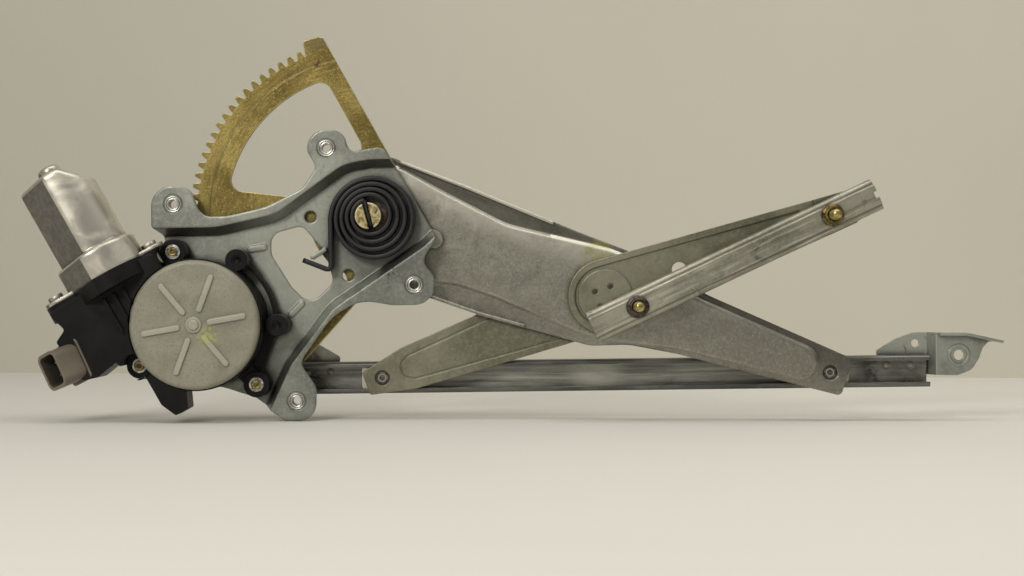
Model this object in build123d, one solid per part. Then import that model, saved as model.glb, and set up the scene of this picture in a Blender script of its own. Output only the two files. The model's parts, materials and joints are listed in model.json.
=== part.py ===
"""Power window regulator of the scissor type: a motor-driven sector gear swings a lift arm, a cross
arm steers the lift channel level, and an equalizer rail ties the scissor to the door.

Millimetres. +X runs along the lift arm's side, +Z is up, and -Y faces the cabin side of the door, from
which the mounting ears, the motor and the equalizer rail are reached. Every piece is drawn about the
lift arm's pivot axis, with depth 0 on the front face of the base plate's panel, and is moved as it is
written, so that the origin is at the mouth of the upper mounting ear's thread. A depth is a y value,
and a smaller one is nearer the cabin side.
"""
from build123d import *
import os
from math import acos, atan2, cos, degrees, hypot, pi, radians, sin, tan

# ---- Linkage -------------------------------------------------------------------------------------
ARM_SPAN = 143.0            # arm pivot to scissor pivot, and scissor pivot to upper shoe
ARM_REACH = 137.2           # scissor pivot to either shoe in the lift channel
ARM_DROP = 19.4             # degrees that the lift arm points below level

# ---- Sheet thicknesses and running gaps ----------------------------------------------------------
PLATE_T = 1.8
ARM_T = 1.8
GEAR_T = 3.0
CHANNEL_T = 1.4
RAIL_T = 1.6
RUN_GAP = 0.3               # face to face, between pieces that move past each other
BORE_GAP = 0.05             # radial, journal in bore
SEAT_GAP = 0.02             # radial, pressed or moulded fits

# ---- Base plate ----------------------------------------------------------------------------------
RIM_RISE = 10.0             # the rim and ears stand this far in front of the panel
WALL_RUN = 4.5              # how far the drawn wall leans outward over that rise
EAR_HOLES = ((-110.6, 8.0), (-23.3, 38.7), (25.6, -39.4), (-41.8, -104.6))
NUT_THREAD_R = 2.55
NUT_SHANK_R = 4.6
NUT_COLLAR_R = 5.4
NUT_DEPTH = 6.4
NUT_PROUD = 0.5
UPPER_EAR = 1
PANEL_HOLE_R = 3.4
BEAD_W = 3.4
BEAD_RISE = 0.6
BEADS = (((-68.0, -18.0), (-60.5, -17.0)), ((-45.2, -55.4), (-39.4, -49.6)))
PANEL_HOLES = ((-33.8, 0.2), (-12.5, -33.4))

# ---- Pivot and spring ----------------------------------------------------------------------------
PIN_HEAD_R = 7.45
PIN_R = 6.0
BUSH_R = 8.0
BUSH_FLANGE_R = 10.0
STRIP_T = 2.7
STRIP_W = 8.4
SLOT_W = 2.9
SLOT_TILT = 14.0            # degrees that the pin's slot leans from upright
SPRING_TURNS = 4
PIN_RIVET_R = 5.0
PIN_UPSET_R = 7.6
COIL_GROWTH = (0.62, 1.25, 1.22, 0.60)   # radius gained passing right, top, left and bottom
TAIL_DROP = 28.5
HOOK_L = 17.0
HOOK_RISE = 22.0            # degrees that the hook climbs to its tip

# ---- Sector gear and pinion ----------------------------------------------------------------------
MODULE = 2.0
GEAR_CIRCLE_TEETH = 102     # teeth that a full circle would have
GEAR_TEETH = 35
PINION_TEETH = 11
PRESSURE = 20.0
GEAR_ADDENDUM = 1.3
PINION_ADDENDUM = 2.2
ROOT_CLEARANCE = 0.5
BACKLASH = 0.30
DRIVE_ANGLE = 212.3         # direction from the arm pivot to the pinion
TEETH_BEFORE_DRIVE = 28.2   # tooth pitches from the first tooth to the pinion
GEAR_AXIS = 173.2           # centre line of the fan
FAN_HALF_ANGLE = 54.4
FAN_EDGE_OFFSET = 27.1      # straight edges pass this far from the pivot
FAN_LEG_W = 10.6
RIM_INNER_R = 82.9
RIM_STEP_R = 92.0
HUB_WEB_R = 35.0
SPOKE_W = 13.2
STOP_R = 108.0
WINDOW_CORNER_R = 7.0
LOBE = (36.6, -13.4)        # rounded corner of the hub, past the upper leg
LOBE_R = 5.2
COIN_DEPTH = 0.4
RIVET_R = 3.0
RIVET_HEAD_R = 4.6
RIVET_CIRCLE_R = 19.5
FLANK_STEPS = 3

# ---- Arms ----------------------------------------------------------------------------------------
ARM_STEP = 2.2              # the arm's panel stands this far in front of its rim
CROSS_DISH = 1.0            # depth of the cross arm's pressings
CROSS_EYE_R = 21.4
BACK_EYE_R = 20.0
DISC_R = 15.5
HUB_JOURNAL_R = 14.0
HUB_FLANGE_R = 18.0
STUD_R = 4.0
STUD_COLLAR_R = 5.5
STUD_HEAD_R = 4.3
STUD_SINK = 0.8
WELD_R = 1.5
WELD_CIRCLE_R = 6.6
WELD_FIRST = 63.0           # direction of the first weld
DISC_RISE = 0.7
CROSS_BORDER = 4.4
CROSS_HOLE = 45.2           # along the front half, from the scissor pivot
CROSS_HOLE_R = 4.3
CROSS_TIP = 9.0             # the front half ends this far past the upper shoe
CROSS_PANEL_STOP = 22.0     # its pressing stops this far before the upper shoe
TAB_L = 24.0                # its flat end that steps out to the rail
CLEAR_W = 60.0              # wider than any arm or the motor can, for cuts across one

# ---- Lift channel and glass brackets -------------------------------------------------------------
CHANNEL_H = 18.4
CHANNEL_D = 11.5
CHANNEL_LIP = 2.9
CHANNEL_BEFORE = 54.5       # channel length past the lower shoe, as drawn
CHANNEL_BEYOND = 59.1       # channel length past the lift shoe
BRACKET_T = 1.6
BRACKET_DEPTH = 20.8        # middle of the bracket's sheet past the channel's end
GLASS_HOLE = (18.2, 8.8)    # from the channel's end and its middle line
GLASS_HOLE_R = 3.0
BRACKET_PILOT = (-6.1, 15.9)
BRACKET_PILOT_R = 2.3
BRACKET_WELDS = ((-23.4, 3.0), (-9.4, 3.0))

# ---- Equalizer rail ------------------------------------------------------------------------------
RAIL_TILT = 24.5
RAIL_W = 18.6
RAIL_BACK = 0.5             # depth of the lips' back faces
RAIL_D = 9.7                # lips to shoulders
RAIL_STEP = 1.8             # the web's middle band stands in front of its shoulders
RAIL_BAND_W = 12.2
RAIL_LIP = 3.0
RAIL_BEFORE = 157.3         # rail length on the lower side of the upper shoe
RAIL_BEYOND = 21.5
RAIL_STUDS = (-129.0, -6.9)  # along the rail, from the upper shoe
RAIL_STUD_R = 3.0
RAIL_STUD_L = 10.0
RAIL_SHANK_R = 2.5
COLLAR_AF = 10.6
COLLAR_H = 4.6

# ---- Shoes ---------------------------------------------------------------------------------------
SHOE_L = 24.0
SHOE_GAP = 0.3

# ---- Gear motor ----------------------------------------------------------------------------------
BOWL_R = 37.0
BOWL_D = 28.0
FLOOR_T = 4.0
SPIGOT_R = 15.9
COVER_R = 36.1
COVER_D = 6.5
COVER_T = 1.4
RIB_FIRST = 9.5             # direction of the first cover rib
RIB_COUNT = 6
RIB_W = 3.0
RIB_INNER = 9.2
RIB_OUTER = 29.4
SCREW_SPOTS = ((-110.1, -19.3), (-129.5, -83.3), (-63.8, -94.7))
LUG_R = 7.3
LUG_D = 15.0
SCREW_R = 2.4
SCREW_WASHER_R = 4.1
SCREW_HEAD_R = 2.9
SCREW_RECESS_R = 1.5
CAN_SCREW_HEAD_R = 4.4
BOSS_SPOTS = ((-73.8, -24.4), (-51.4, -61.4))
BOSS_R = 6.2
BOSS_D = 19.0
WEB_D = 8.0                 # height of the web between the lower boss and the last screw lug
LUG_WEB_W = 10.0
BOSS_WEB_W = 6.0
GUARD_D = 10.0              # height of the guard between the bosses and of their webs
SHOULDER_RIBS = (-6.0, 0.0, 6.0)   # from the worm's axis, square to it
SHAFT_R = 5.0
SHAFT_BUSH_R = 7.0
SHAFT_END = 8.5
DAMPER_R = 20.0
DAMPER_HOLE_R = 9.3
WHEEL_R = 26.0
WHEEL_W = 10.0
WORM_OFFSET = 30.0          # wheel axis to worm axis
WORM_CORE_R = 3.6
WORM_BORE_R = 5.4
WORM_DEPTH = -22.0
WORM_AXIS = 119.0           # direction from the worm towards the motor can
FLANGE_FROM_WORM = 48.5     # worm's middle to the can's flange face, along the axis
TUNNEL_W = 16.0
TUNNEL_END = 87.0
CAN_R = 20.6
CAN_WALL = 1.6
CAN_L = 64.0
CAN_FLAT = 15.5             # flats stand this far from the axis
CAN_TURN = 45.0             # degrees that the flats are turned from the cabin side
COLLAR_R = 23.6
COLLAR_L = 15.0
COLLAR_FLAT = 19.5
FLANGE_T = 2.0
CAN_SCREWS_AT = (-31.5, 28.4)   # along the flange, from the can's axis
CAN_EAR_R = 7.5
CAN_SLOPE_FROM = 7.5        # across the can's end, where its 45 degree slope starts
CAN_CORNER_R = 3.2          # drawn corners round the end and along the flats
COLLAR_CORNER_R = 2.0
CAN_BOSS_CORNER_R = 2.5
ROTOR_R = 12.6
MAGNET_T = 5.4
ROTOR_SHAFT_R = 3.0
CORE_SLOTS = 12
CORE_FROM = 17.0            # distances along the worm's axis from the can's flange
CORE_FROM_END = 19.0        # from the core to the can's end
MAGNET_OVERLAP = 3.0        # the magnets are longer than the core at both ends
MAGNET_W = 22.0
COIL_HEAD = 4.5
COMMUTATOR_R = 6.0
COMMUTATOR_FROM = 4.6
COMMUTATOR_TO = 12.8
BRUSH_PLATE_FROM = 2.2
BRUSH_PLATE_TO = 4.2
BRUSH_W = 4.0
BRUSH_L = 5.6
BRUSH_H = 5.0
WORM_HALF_L = 12.5
REAR_BEARING_R = 4.6
CAN_BOSS_R = 6.5
CAN_BOSS_H = 5.5
BEARING_FROM = 72.0
BEARING_TO = 80.0
PLUG_TILT = 42.0            # degrees that the connector leans from square to the panel
PLUG_HEADING = 204.0        # side to which it leans
PLUG_W = 17.5
PLUG_H = 21.0
PLUG_L = 25.0
PLUG_CORNER_R = 4.5
PLUG_WALL = 1.7
PLUG_ROOT = (-158.0, -78.0)
PLUG_ROOT_Y = -20.0
SOCKET_FLOOR = 6.0


# ---- Points and directions in the XZ plane -------------------------------------------------------
def polar(radius, angle, centre=(0.0, 0.0)):
    return (centre[0] + radius * cos(radians(angle)), centre[1] + radius * sin(radians(angle)))


SCISSOR = polar(ARM_SPAN, -ARM_DROP)
LIFT_SHOE_AT = polar(ARM_SPAN + ARM_REACH, -ARM_DROP)
LOWER_SHOE_AT = polar(ARM_REACH, 180 + ARM_DROP, SCISSOR)
UPPER_SHOE_AT = polar(ARM_SPAN, ARM_DROP, SCISSOR)
CHANNEL_LEFT = LOWER_SHOE_AT[0] - CHANNEL_BEFORE
CHANNEL_RIGHT = LIFT_SHOE_AT[0] + CHANNEL_BEYOND
GEAR_PITCH_R = MODULE * GEAR_CIRCLE_TEETH / 2
PINION_PITCH_R = MODULE * PINION_TEETH / 2
GEAR_TIP_R = GEAR_PITCH_R + GEAR_ADDENDUM
GEAR_ROOT_R = GEAR_PITCH_R - PINION_ADDENDUM - ROOT_CLEARANCE
PINION_TIP_R = PINION_PITCH_R + PINION_ADDENDUM
PINION_ROOT_R = PINION_PITCH_R - GEAR_ADDENDUM - ROOT_CLEARANCE
TOOTH_PITCH = 360 / GEAR_CIRCLE_TEETH
DRIVE = polar(GEAR_PITCH_R + PINION_PITCH_R, DRIVE_ANGLE)
WORM_MID = polar(WORM_OFFSET, WORM_AXIS + 90, DRIVE)
CAN_BASE = polar(FLANGE_FROM_WORM, WORM_AXIS, WORM_MID)
CORE_TO = CAN_L - CORE_FROM_END
SLOT_ANGLE = 90 + SLOT_TILT

# ---- Depths, from the cabin side to the glass side -----------------------------------------------
RIM_FRONT = -RIM_RISE
RIM_BACK = RIM_FRONT + PLATE_T
GEAR_FRONT = PLATE_T + 1.7
ARM_FRONT = GEAR_FRONT + GEAR_T
ARM_BACK = ARM_FRONT + ARM_T
ARM_RIM_FRONT = ARM_FRONT + ARM_STEP
ARM_RIM_BACK = ARM_RIM_FRONT + ARM_T
CROSS_PANEL_BACK = ARM_FRONT - 0.5
CROSS_PANEL_FRONT = CROSS_PANEL_BACK - ARM_T
CROSS_RIM_FRONT = CROSS_PANEL_FRONT - CROSS_DISH
CROSS_TAB_FRONT = CROSS_RIM_FRONT - 2.0
BACK_HALF_FRONT = ARM_RIM_BACK + 0.6
BACK_HALF_BACK = BACK_HALF_FRONT + ARM_T
LIP_FRONT = BACK_HALF_BACK + 1.1
WEB_BACK = LIP_FRONT + CHANNEL_D
SHOE_STUD_END = WEB_BACK - CHANNEL_T - SHOE_GAP
RAIL_SHOE_FRONT = RAIL_BACK - RAIL_D + RAIL_T + SHOE_GAP
COVER_FRONT = -BOWL_D - COVER_D
STRIP_BACK = -1.2
STRIP_FRONT = STRIP_BACK - STRIP_W
WHEEL_FRONT = WORM_DEPTH - WHEEL_W / 2
WHEEL_BACK = WORM_DEPTH + WHEEL_W / 2
DAMPER_FRONT = WHEEL_FRONT + 2.0
DAMPER_BACK = WHEEL_BACK - 2.0


# ---- Drawing helpers -----------------------------------------------------------------------------
def facing(depth):
    """Drawing plane at a depth, seen from the cabin side: x to the right, y up."""
    return Plane(origin=(0, depth, 0), x_dir=(1, 0, 0), z_dir=(0, -1, 0))


def slab(sketch, front, back):
    """A drawing made into a plate between two depths."""
    return extrude(facing(back) * sketch, back - front, dir=(0, -1, 0))


def outline(*corners):
    """A closed shape from corners (x, z, corner radius)."""
    points = [(x, z) for x, z, _ in corners]
    radii = [radius for _, _, radius in corners]
    return make_face(FilletPolyline(*points, radius=radii, close=True))


def disc(radius, centre=(0.0, 0.0)):
    return Pos(*centre) * Circle(radius)


def ring(outer, inner, centre=(0.0, 0.0)):
    return disc(outer, centre) - disc(inner, centre)


def post(radius, front, back, centre=(0.0, 0.0)):
    return slab(disc(radius, centre), front, back)


def bar(start, end, width):
    """A straight strip with rounded ends."""
    angle = degrees(atan2(end[1] - start[1], end[0] - start[0]))
    middle = ((start[0] + end[0]) / 2, (start[1] + end[1]) / 2)
    length = hypot(end[0] - start[0], end[1] - start[1]) + width
    return Pos(*middle) * Rot(0, 0, angle) * SlotOverall(length, width)


def grown(sketch, amount):
    return offset(sketch, amount, kind=Kind.INTERSECTION) if amount else sketch


def form(sketch, grow_back, back, grow_front, front):
    """Press tool: the drawing grown by one amount at one depth and by another at the other."""
    sections = [facing(back) * grown(sketch, grow_back), facing(front) * grown(sketch, grow_front)]
    return loft(sections, ruled=True)


def tool_gap(thickness, rise, run):
    """Sideways distance between the two skins of a drawn wall."""
    lean = degrees(acos(run / hypot(run, rise)))
    return thickness * tan(radians(lean / 2))


def dished(sheet, panel, rim_front, panel_front, thickness, run):
    """A sheet whose panel is pressed away from the cabin side, out of the plane of its rim."""
    rise = panel_front - rim_front
    gap = tool_gap(thickness, rise, run)
    back = panel_front + thickness
    skin = form(panel, gap, back, run + gap, rim_front)
    hollow = form(panel, 0, panel_front, run, rim_front)
    walls = slab(sheet, rim_front, back) & skin
    return slab(sheet, rim_front, rim_front + thickness) + walls - hollow


def raised(sheet, panel, rim_front, panel_front, thickness, run):
    """A sheet whose panel is pressed towards the cabin side, out of the plane of its rim."""
    rise = rim_front - panel_front
    gap = tool_gap(thickness, rise, run)
    rim_back = rim_front + thickness
    skin = form(panel, run, rim_front, 0, panel_front)
    skin += slab(grown(panel, run), rim_front, rim_back)
    hollow = form(panel, run - gap, rim_back, -gap, panel_front + thickness)
    walls = slab(sheet, panel_front, rim_back) & skin
    return slab(sheet, rim_front, rim_back) + walls - hollow


# ---- Base plate and what is fixed in it ----------------------------------------------------------
def plate_outline():
    return outline(
        (-123, -5, 3), (-123, 18.2, 11.6), (-101, 18.2, 8.5), (-95, 0.4, 9), (-80, 0.6, 30),
        (-58, 5.5, 40), (-37, 16, 12), (-29, 28, 5), (-34.1, 37, 4), (-34.1, 49.2, 10.8),
        (-13.8, 49.2, 8.6), (-10.3, 36.3, 5), (9, 39.2, 6), (38.5, -13, 3), (30, -26, 7),
        (37.2, -35, 4), (37.2, -51, 11.4), (13, -51, 8), (-6, -47.5, 25), (-22, -58, 25),
        (-40, -83, 7), (-30.3, -97, 9), (-31, -116.2, 10.5), (-48, -116.2, 6), (-66, -103, 6),
        (-84, -97, 30), (-121, -91, 6), (-131, -92, 6), (-136.5, -84, 6), (-134, -70, 10),
        (-119.5, -28, 12), (-117, -10, 5),
    )


def panel_outline():
    return outline(
        (-150, -10.3, 0), (-85.7, -9.9, 40), (-51.2, -2.5, 30), (-12, 25.5, 22), (2, 27.8, 20),
        (60, 28, 0), (60, 14, 0), (28.8, -14.5, 20), (-23.6, -49.5, 22), (-48.6, -82, 20),
        (-64, -115, 0), (-80, -150, 0), (-150, -150, 0),
    )


def window_outline():
    return outline(
        (-56.3, -9.5, 7), (-38.6, -4.8, 5.5), (-25.4, -20.4, 1.5), (-20.8, -37.5, 6),
        (-34.5, -50.5, 8), (-45, -40, 9), (-56.6, -21, 9),
    )


def base_plate():
    plate = dished(plate_outline(), panel_outline(), RIM_FRONT, 0, PLATE_T, WALL_RUN)
    for start, end in BEADS:
        plate += slab(bar(start, end, BEAD_W), -BEAD_RISE, 0)
    cuts = window_outline() + disc(BUSH_R + SEAT_GAP) + disc(SPIGOT_R + 0.1, DRIVE)
    for spot in PANEL_HOLES:
        cuts += disc(PANEL_HOLE_R, spot)
    plate -= slab(cuts, -1, PLATE_T + 1)
    for spot in SCREW_SPOTS:
        plate -= post(SCREW_R + 0.3, -1, PLATE_T + 1, spot)
    for spot in EAR_HOLES:
        plate -= post(NUT_SHANK_R + SEAT_GAP, RIM_FRONT - 1, RIM_BACK + 1, spot)
    return plate + spring_tab()


def spring_tab():
    """Lug lanced from the window's edge, over which the spring's hook is laid."""
    tab = outline((-33.5, -22.6, 1), (-25.0, -17.6, 0), (-23.6, -19.4, 0), (-32.6, -24.8, 1))
    return slab(tab, -STRIP_W, PLATE_T)


def mounting_nuts():
    nuts = []
    for spot in EAR_HOLES:
        nut = post(NUT_COLLAR_R, RIM_BACK, RIM_BACK + NUT_DEPTH, spot)
        nut += post(NUT_SHANK_R, RIM_FRONT - NUT_PROUD, RIM_BACK, spot)
        nuts.append(nut - post(NUT_THREAD_R, RIM_FRONT - 1, RIM_BACK + NUT_DEPTH + 1, spot))
    return Compound(nuts)


def pivot_bush():
    bush = post(BUSH_R, 0, PLATE_T) + post(BUSH_FLANGE_R, -0.9, 0)
    bush += post(BUSH_FLANGE_R, PLATE_T, GEAR_FRONT - RUN_GAP)
    return bush - post(PIN_R + BORE_GAP, -2, GEAR_FRONT)


# ---- Counterbalance spring -----------------------------------------------------------------------
def coil_arcs():
    """Arcs of the wound strip's middle line, from the pin's slot outwards, turning left."""
    centre = (0.0, 0.0)
    radius = PIN_HEAD_R + STRIP_T / 2 + 0.4
    start = SLOT_ANGLE
    arcs = []
    for quarter in range(2, 4 * SPRING_TURNS + 3):
        end = 90.0 * quarter
        arcs.append(CenterArc(centre, radius, start, end - start))
        growth = COIL_GROWTH[quarter % 4]
        centre = polar(-growth, end, centre)
        radius += growth
        start = end
    return arcs


def tail_line(start):
    """The strip runs straight down from the last coil and hooks to the left."""
    corner = (start.X, start.Y - TAIL_DROP)
    tip = polar(HOOK_L, 180 - HOOK_RISE, corner)
    return FilletPolyline((start.X, start.Y), corner, tip, radius=2.2)


def spiral_spring():
    arcs = coil_arcs()
    first = arcs[0] @ 0
    slot_leg = Line(polar(-PIN_HEAD_R + 1.5, SLOT_ANGLE), (first.X, first.Y))
    path = [slot_leg] + arcs + [tail_line(arcs[-1] @ 1)]
    return slab(trace(path, STRIP_T), STRIP_FRONT, STRIP_BACK)


# ---- Lift arm, sector gear and pin ---------------------------------------------------------------
def pivot_pin():
    """Slotted pin riveted to the gear and arm; its slot holds the spring's inner end."""
    head_front = STRIP_FRONT - 1.9
    pin = post(PIN_HEAD_R, head_front, STRIP_BACK) + post(PIN_R, STRIP_BACK, GEAR_FRONT)
    pin += post(PIN_RIVET_R, GEAR_FRONT, ARM_BACK) + post(PIN_UPSET_R, ARM_BACK, ARM_BACK + 1.4)
    slot = Rot(0, 0, SLOT_ANGLE) * Rectangle(3 * PIN_HEAD_R, SLOT_W)
    return pin - slab(slot, head_front - 1, STRIP_BACK)


def involute(angle):
    return tan(angle) - angle


def tooth(teeth, tip_r, root_r, direction):
    """Corner points of one involute tooth, from its right flank's root over the tip to the left."""
    pitch_r = MODULE * teeth / 2
    base_r = pitch_r * cos(radians(PRESSURE))
    at_base = pi / (2 * teeth) - BACKLASH / (4 * pitch_r) + involute(radians(PRESSURE))
    flank = []
    for step in range(FLANK_STEPS + 1):
        radius = root_r + (tip_r - root_r) * step / FLANK_STEPS
        turn = acos(min(1.0, base_r / radius))
        flank.append((radius, degrees(at_base - involute(turn))))
    right = [polar(radius, direction - half) for radius, half in flank]
    left = [polar(radius, direction + half) for radius, half in reversed(flank)]
    return right + left


def fan_blank():
    """The fan's outline without teeth: straight edges, root circle and the hub's corner."""
    apex = polar(-FAN_EDGE_OFFSET / sin(radians(FAN_HALF_ANGLE)), GEAR_AXIS)
    upper = polar(300, GEAR_AXIS - FAN_HALF_ANGLE, apex)
    lower = polar(300, GEAR_AXIS + FAN_HALF_ANGLE, apex)
    fan = outline((*apex, 0), (*upper, 0), (*lower, 0)) & disc(GEAR_ROOT_R + 0.01)
    return fan + disc(FAN_EDGE_OFFSET) + bar((12, -5), LOBE, 2 * LOBE_R)


def gear_windows():
    """Two windows between hub, rim, side legs and the middle spoke."""
    field = disc(RIM_INNER_R) - disc(HUB_WEB_R)
    field -= Rot(0, 0, GEAR_AXIS) * Rectangle(4 * RIM_INNER_R, SPOKE_W)
    apex = polar(-(FAN_EDGE_OFFSET - FAN_LEG_W) / sin(radians(FAN_HALF_ANGLE)), GEAR_AXIS)
    upper = polar(300, GEAR_AXIS - FAN_HALF_ANGLE, apex)
    lower = polar(300, GEAR_AXIS + FAN_HALF_ANGLE, apex)
    field &= outline((*apex, 0), (*upper, 0), (*lower, 0))
    return Sketch() + [face.fillet_2d(WINDOW_CORNER_R, face.vertices()) for face in field.faces()]


def stop_block():
    """Solid block past the last upper tooth that meets the drive at the end of travel."""
    return outline(
        (*polar(RIM_STEP_R, 112.0), 0), (*polar(STOP_R, 110.4), 1.5), (*polar(STOP_R, 105.4), 1.5),
        (-25.6, 103.0, 0), (-19.6, 92.0, 0),
    )


def sector_gear():
    teeth = []
    for number in range(GEAR_TEETH):
        direction = DRIVE_ANGLE - (TEETH_BEFORE_DRIVE - number) * TOOTH_PITCH
        teeth.append(Polygon(*tooth(GEAR_CIRCLE_TEETH, GEAR_TIP_R, GEAR_ROOT_R - 0.5, direction)))
    flat = fan_blank() + teeth + stop_block() - gear_windows() - disc(PIN_RIVET_R + SEAT_GAP)
    flat -= Sketch() + [disc(RIVET_R, spot) for spot in rivet_spots()]
    gear = slab(flat, GEAR_FRONT, ARM_FRONT)
    coined = ring(STOP_R + 9, RIM_STEP_R) & disc(STOP_R + 5)
    return gear - slab(coined, GEAR_FRONT - 1, GEAR_FRONT + COIN_DEPTH)


def rivet_spots():
    return [polar(RIVET_CIRCLE_R, 40 + 120 * number) for number in range(3)]


def arm_rivets():
    rivets = []
    for spot in rivet_spots():
        rivet = post(RIVET_R - SEAT_GAP, GEAR_FRONT, ARM_BACK, spot)
        rivet += post(RIVET_HEAD_R, GEAR_FRONT - 1.0, GEAR_FRONT, spot)
        rivet += post(RIVET_HEAD_R, ARM_BACK, ARM_BACK + 1.2, spot)
        rivets.append(rivet)
    return Compound(rivets)


def along_arm(sketch):
    """Turns a drawing whose x runs from the arm pivot to the lift shoe into the arm's place."""
    return Rot(0, 0, -ARM_DROP) * sketch


def arm_outline():
    mid, end = ARM_SPAN, ARM_SPAN + ARM_REACH
    return along_arm(outline(
        (-25.8, 31.2, 24), (1.0, 36.6, 20), (44.6, 35.0, 60), (mid - 26.1, 30.3, 60), (mid + 4.7, 29.2, 40),
        (mid + 56.5, 19.7, 60), (end + 10.0, 11.7, 3), (end + 10.4, -10.7, 3), (mid + 50.5, -18.1, 60),
        (mid + 21.7, -22.1, 30), (mid + 1.1, -29.8, 20), (77.9, -33.5, 60), (47.6, -33.3, 40),
        (18.1, -33.4, 16), (-14.6, -36.9, 26), (-34.6, -10.1, 26),
    ))


def arm_panel():
    mid, end = ARM_SPAN, ARM_SPAN + ARM_REACH
    return along_arm(outline(
        (-21.0, 23.4, 18), (6.3, 31.5, 20), (34.4, 25.9, 40), (76.0, 19.6, 40), (mid - 1.5, 25.7, 50),
        (mid + 51.4, 14.8, 60), (end - 9.3, 7.9, 8), (end - 10.1, -8.4, 8), (mid + 49.2, -14.4, 60),
        (mid + 10.3, -23.0, 30), (mid - 7.9, -24.0, 40), (83.3, -19.8, 60), (60.0, -19.8, 30),
        (30.3, -25.9, 20), (-10.2, -31.2, 18), (-27.1, -7.4, 18),
    ))


def edge_lips():
    """The rim's edges are turned towards the cabin side between the gear and the scissor pivot."""
    band = arm_outline() - grown(arm_outline(), -ARM_T)
    upper = outline((4, 49, 0), (ARM_SPAN - 40, 49, 0), (ARM_SPAN - 43, 18, 0), (8, 24, 0))
    lower = outline((48, -15, 0), (ARM_SPAN - 40, -18, 0), (ARM_SPAN - 37, -49, 0), (48, -47, 0))
    return slab(band & along_arm(upper + lower), ARM_FRONT, ARM_RIM_FRONT)


def lift_arm():
    arm = raised(arm_outline(), arm_panel(), ARM_RIM_FRONT, ARM_FRONT, ARM_T, ARM_STEP) + edge_lips()
    holes = disc(PIN_RIVET_R + SEAT_GAP) + disc(HUB_JOURNAL_R + BORE_GAP, SCISSOR)
    holes += disc(STUD_R, LIFT_SHOE_AT)
    holes += [disc(RIVET_R, spot) for spot in rivet_spots()]
    arm -= slab(holes, ARM_FRONT - 1, ARM_RIM_BACK + 1)
    return arm - countersink(LIFT_SHOE_AT, ARM_RIM_FRONT)


def countersink(spot, front):
    return post(STUD_HEAD_R, front - 1, front + STUD_SINK, spot)


def arm_stud(spot, front, back):
    """Stud flush in the arm's front, with a collar behind the arm and a journal for its shoe."""
    stud = post(STUD_HEAD_R - SEAT_GAP, front, front + STUD_SINK, spot)
    stud += post(STUD_R - SEAT_GAP, front + STUD_SINK, back, spot)
    if BACK_HALF_BACK - back > 0.5:
        stud += post(STUD_COLLAR_R, back, BACK_HALF_BACK, spot)
        back = BACK_HALF_BACK
    return stud + post(STUD_R - BORE_GAP, back, SHOE_STUD_END, spot)


def lift_stud():
    return arm_stud(LIFT_SHOE_AT, ARM_RIM_FRONT, ARM_RIM_BACK)


# ---- Cross arm, in two halves on a hub through the lift arm --------------------------------------
def from_scissor(angle):
    """Moves a drawing with its origin at the scissor pivot and x along an arm."""
    return Pos(*SCISSOR) * Rot(0, 0, angle)


def mirrored_outline(*upper):
    """A shape symmetric about x, from its upper corners (x, half height, radius), left to right."""
    lower = [(x, -half, radius) for x, half, radius in reversed(upper)]
    return outline(*upper, *lower)


def front_half_outline(inset):
    """Tapers from the round eye at the pivot to the upper shoe."""
    eye = CROSS_EYE_R - inset
    tip = 9.6 - inset
    corner = 3 if inset == 0 else 1.5
    arm = mirrored_outline((0, eye + 0.05, 0), (ARM_SPAN + CROSS_TIP - inset, tip, corner))
    return arm + disc(eye)


def cross_arm_front():
    place = from_scissor(ARM_DROP)
    body = place * front_half_outline(0)
    pressed = Pos(ARM_SPAN / 2 - CROSS_PANEL_STOP, 0) * Rectangle(ARM_SPAN, CLEAR_W)
    short = place * (front_half_outline(CROSS_BORDER) & pressed)
    arm = dished(body, short, CROSS_RIM_FRONT, CROSS_PANEL_FRONT, ARM_T, CROSS_DISH)
    jog = place * Pos(ARM_SPAN, 0) * Rectangle(TAB_L, CLEAR_W)
    arm = arm - slab(jog, -5, 20) + jogged_tab(body & jog)
    arm += post(DISC_R, CROSS_PANEL_FRONT - DISC_RISE, CROSS_PANEL_FRONT, SCISSOR)
    arm -= slab(place * disc(CROSS_HOLE_R, (CROSS_HOLE, 0)), -5, 20)
    arm -= post(STUD_R, -5, 20, UPPER_SHOE_AT)
    back = CROSS_TAB_FRONT + ARM_T
    return arm - post(STUD_HEAD_R, back - STUD_SINK, back + 1, UPPER_SHOE_AT)


def jogged_tab(tip):
    """The end of the front half steps towards the cabin side to reach the rail."""
    tab = slab(tip, CROSS_TAB_FRONT, CROSS_TAB_FRONT + ARM_T)
    neck = tip & (from_scissor(ARM_DROP) * Pos(ARM_SPAN - TAB_L / 2 + 1, 0) * Rectangle(2, CLEAR_W))
    return tab + slab(neck, CROSS_TAB_FRONT, CROSS_RIM_FRONT + ARM_T)


def back_half_outline():
    """Tapers from the pivot to a cropped end past the lower shoe."""
    return mirrored_outline(
        (0, BACK_EYE_R, 0), (34, BACK_EYE_R - 1.8, 60), (ARM_REACH - 16, 12.6, 14),
        (ARM_REACH + 10, 7.0, 1.5),
    ) + disc(BACK_EYE_R)


def back_half_panel():
    """Pressed panel with a round end short of the lower shoe."""
    return mirrored_outline(
        (-13, 15.2, 12), (34, 14.6, 60), (ARM_REACH - 18, 7.6, 3), (ARM_REACH - 11.5, 4.0, 4),
    )


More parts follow.
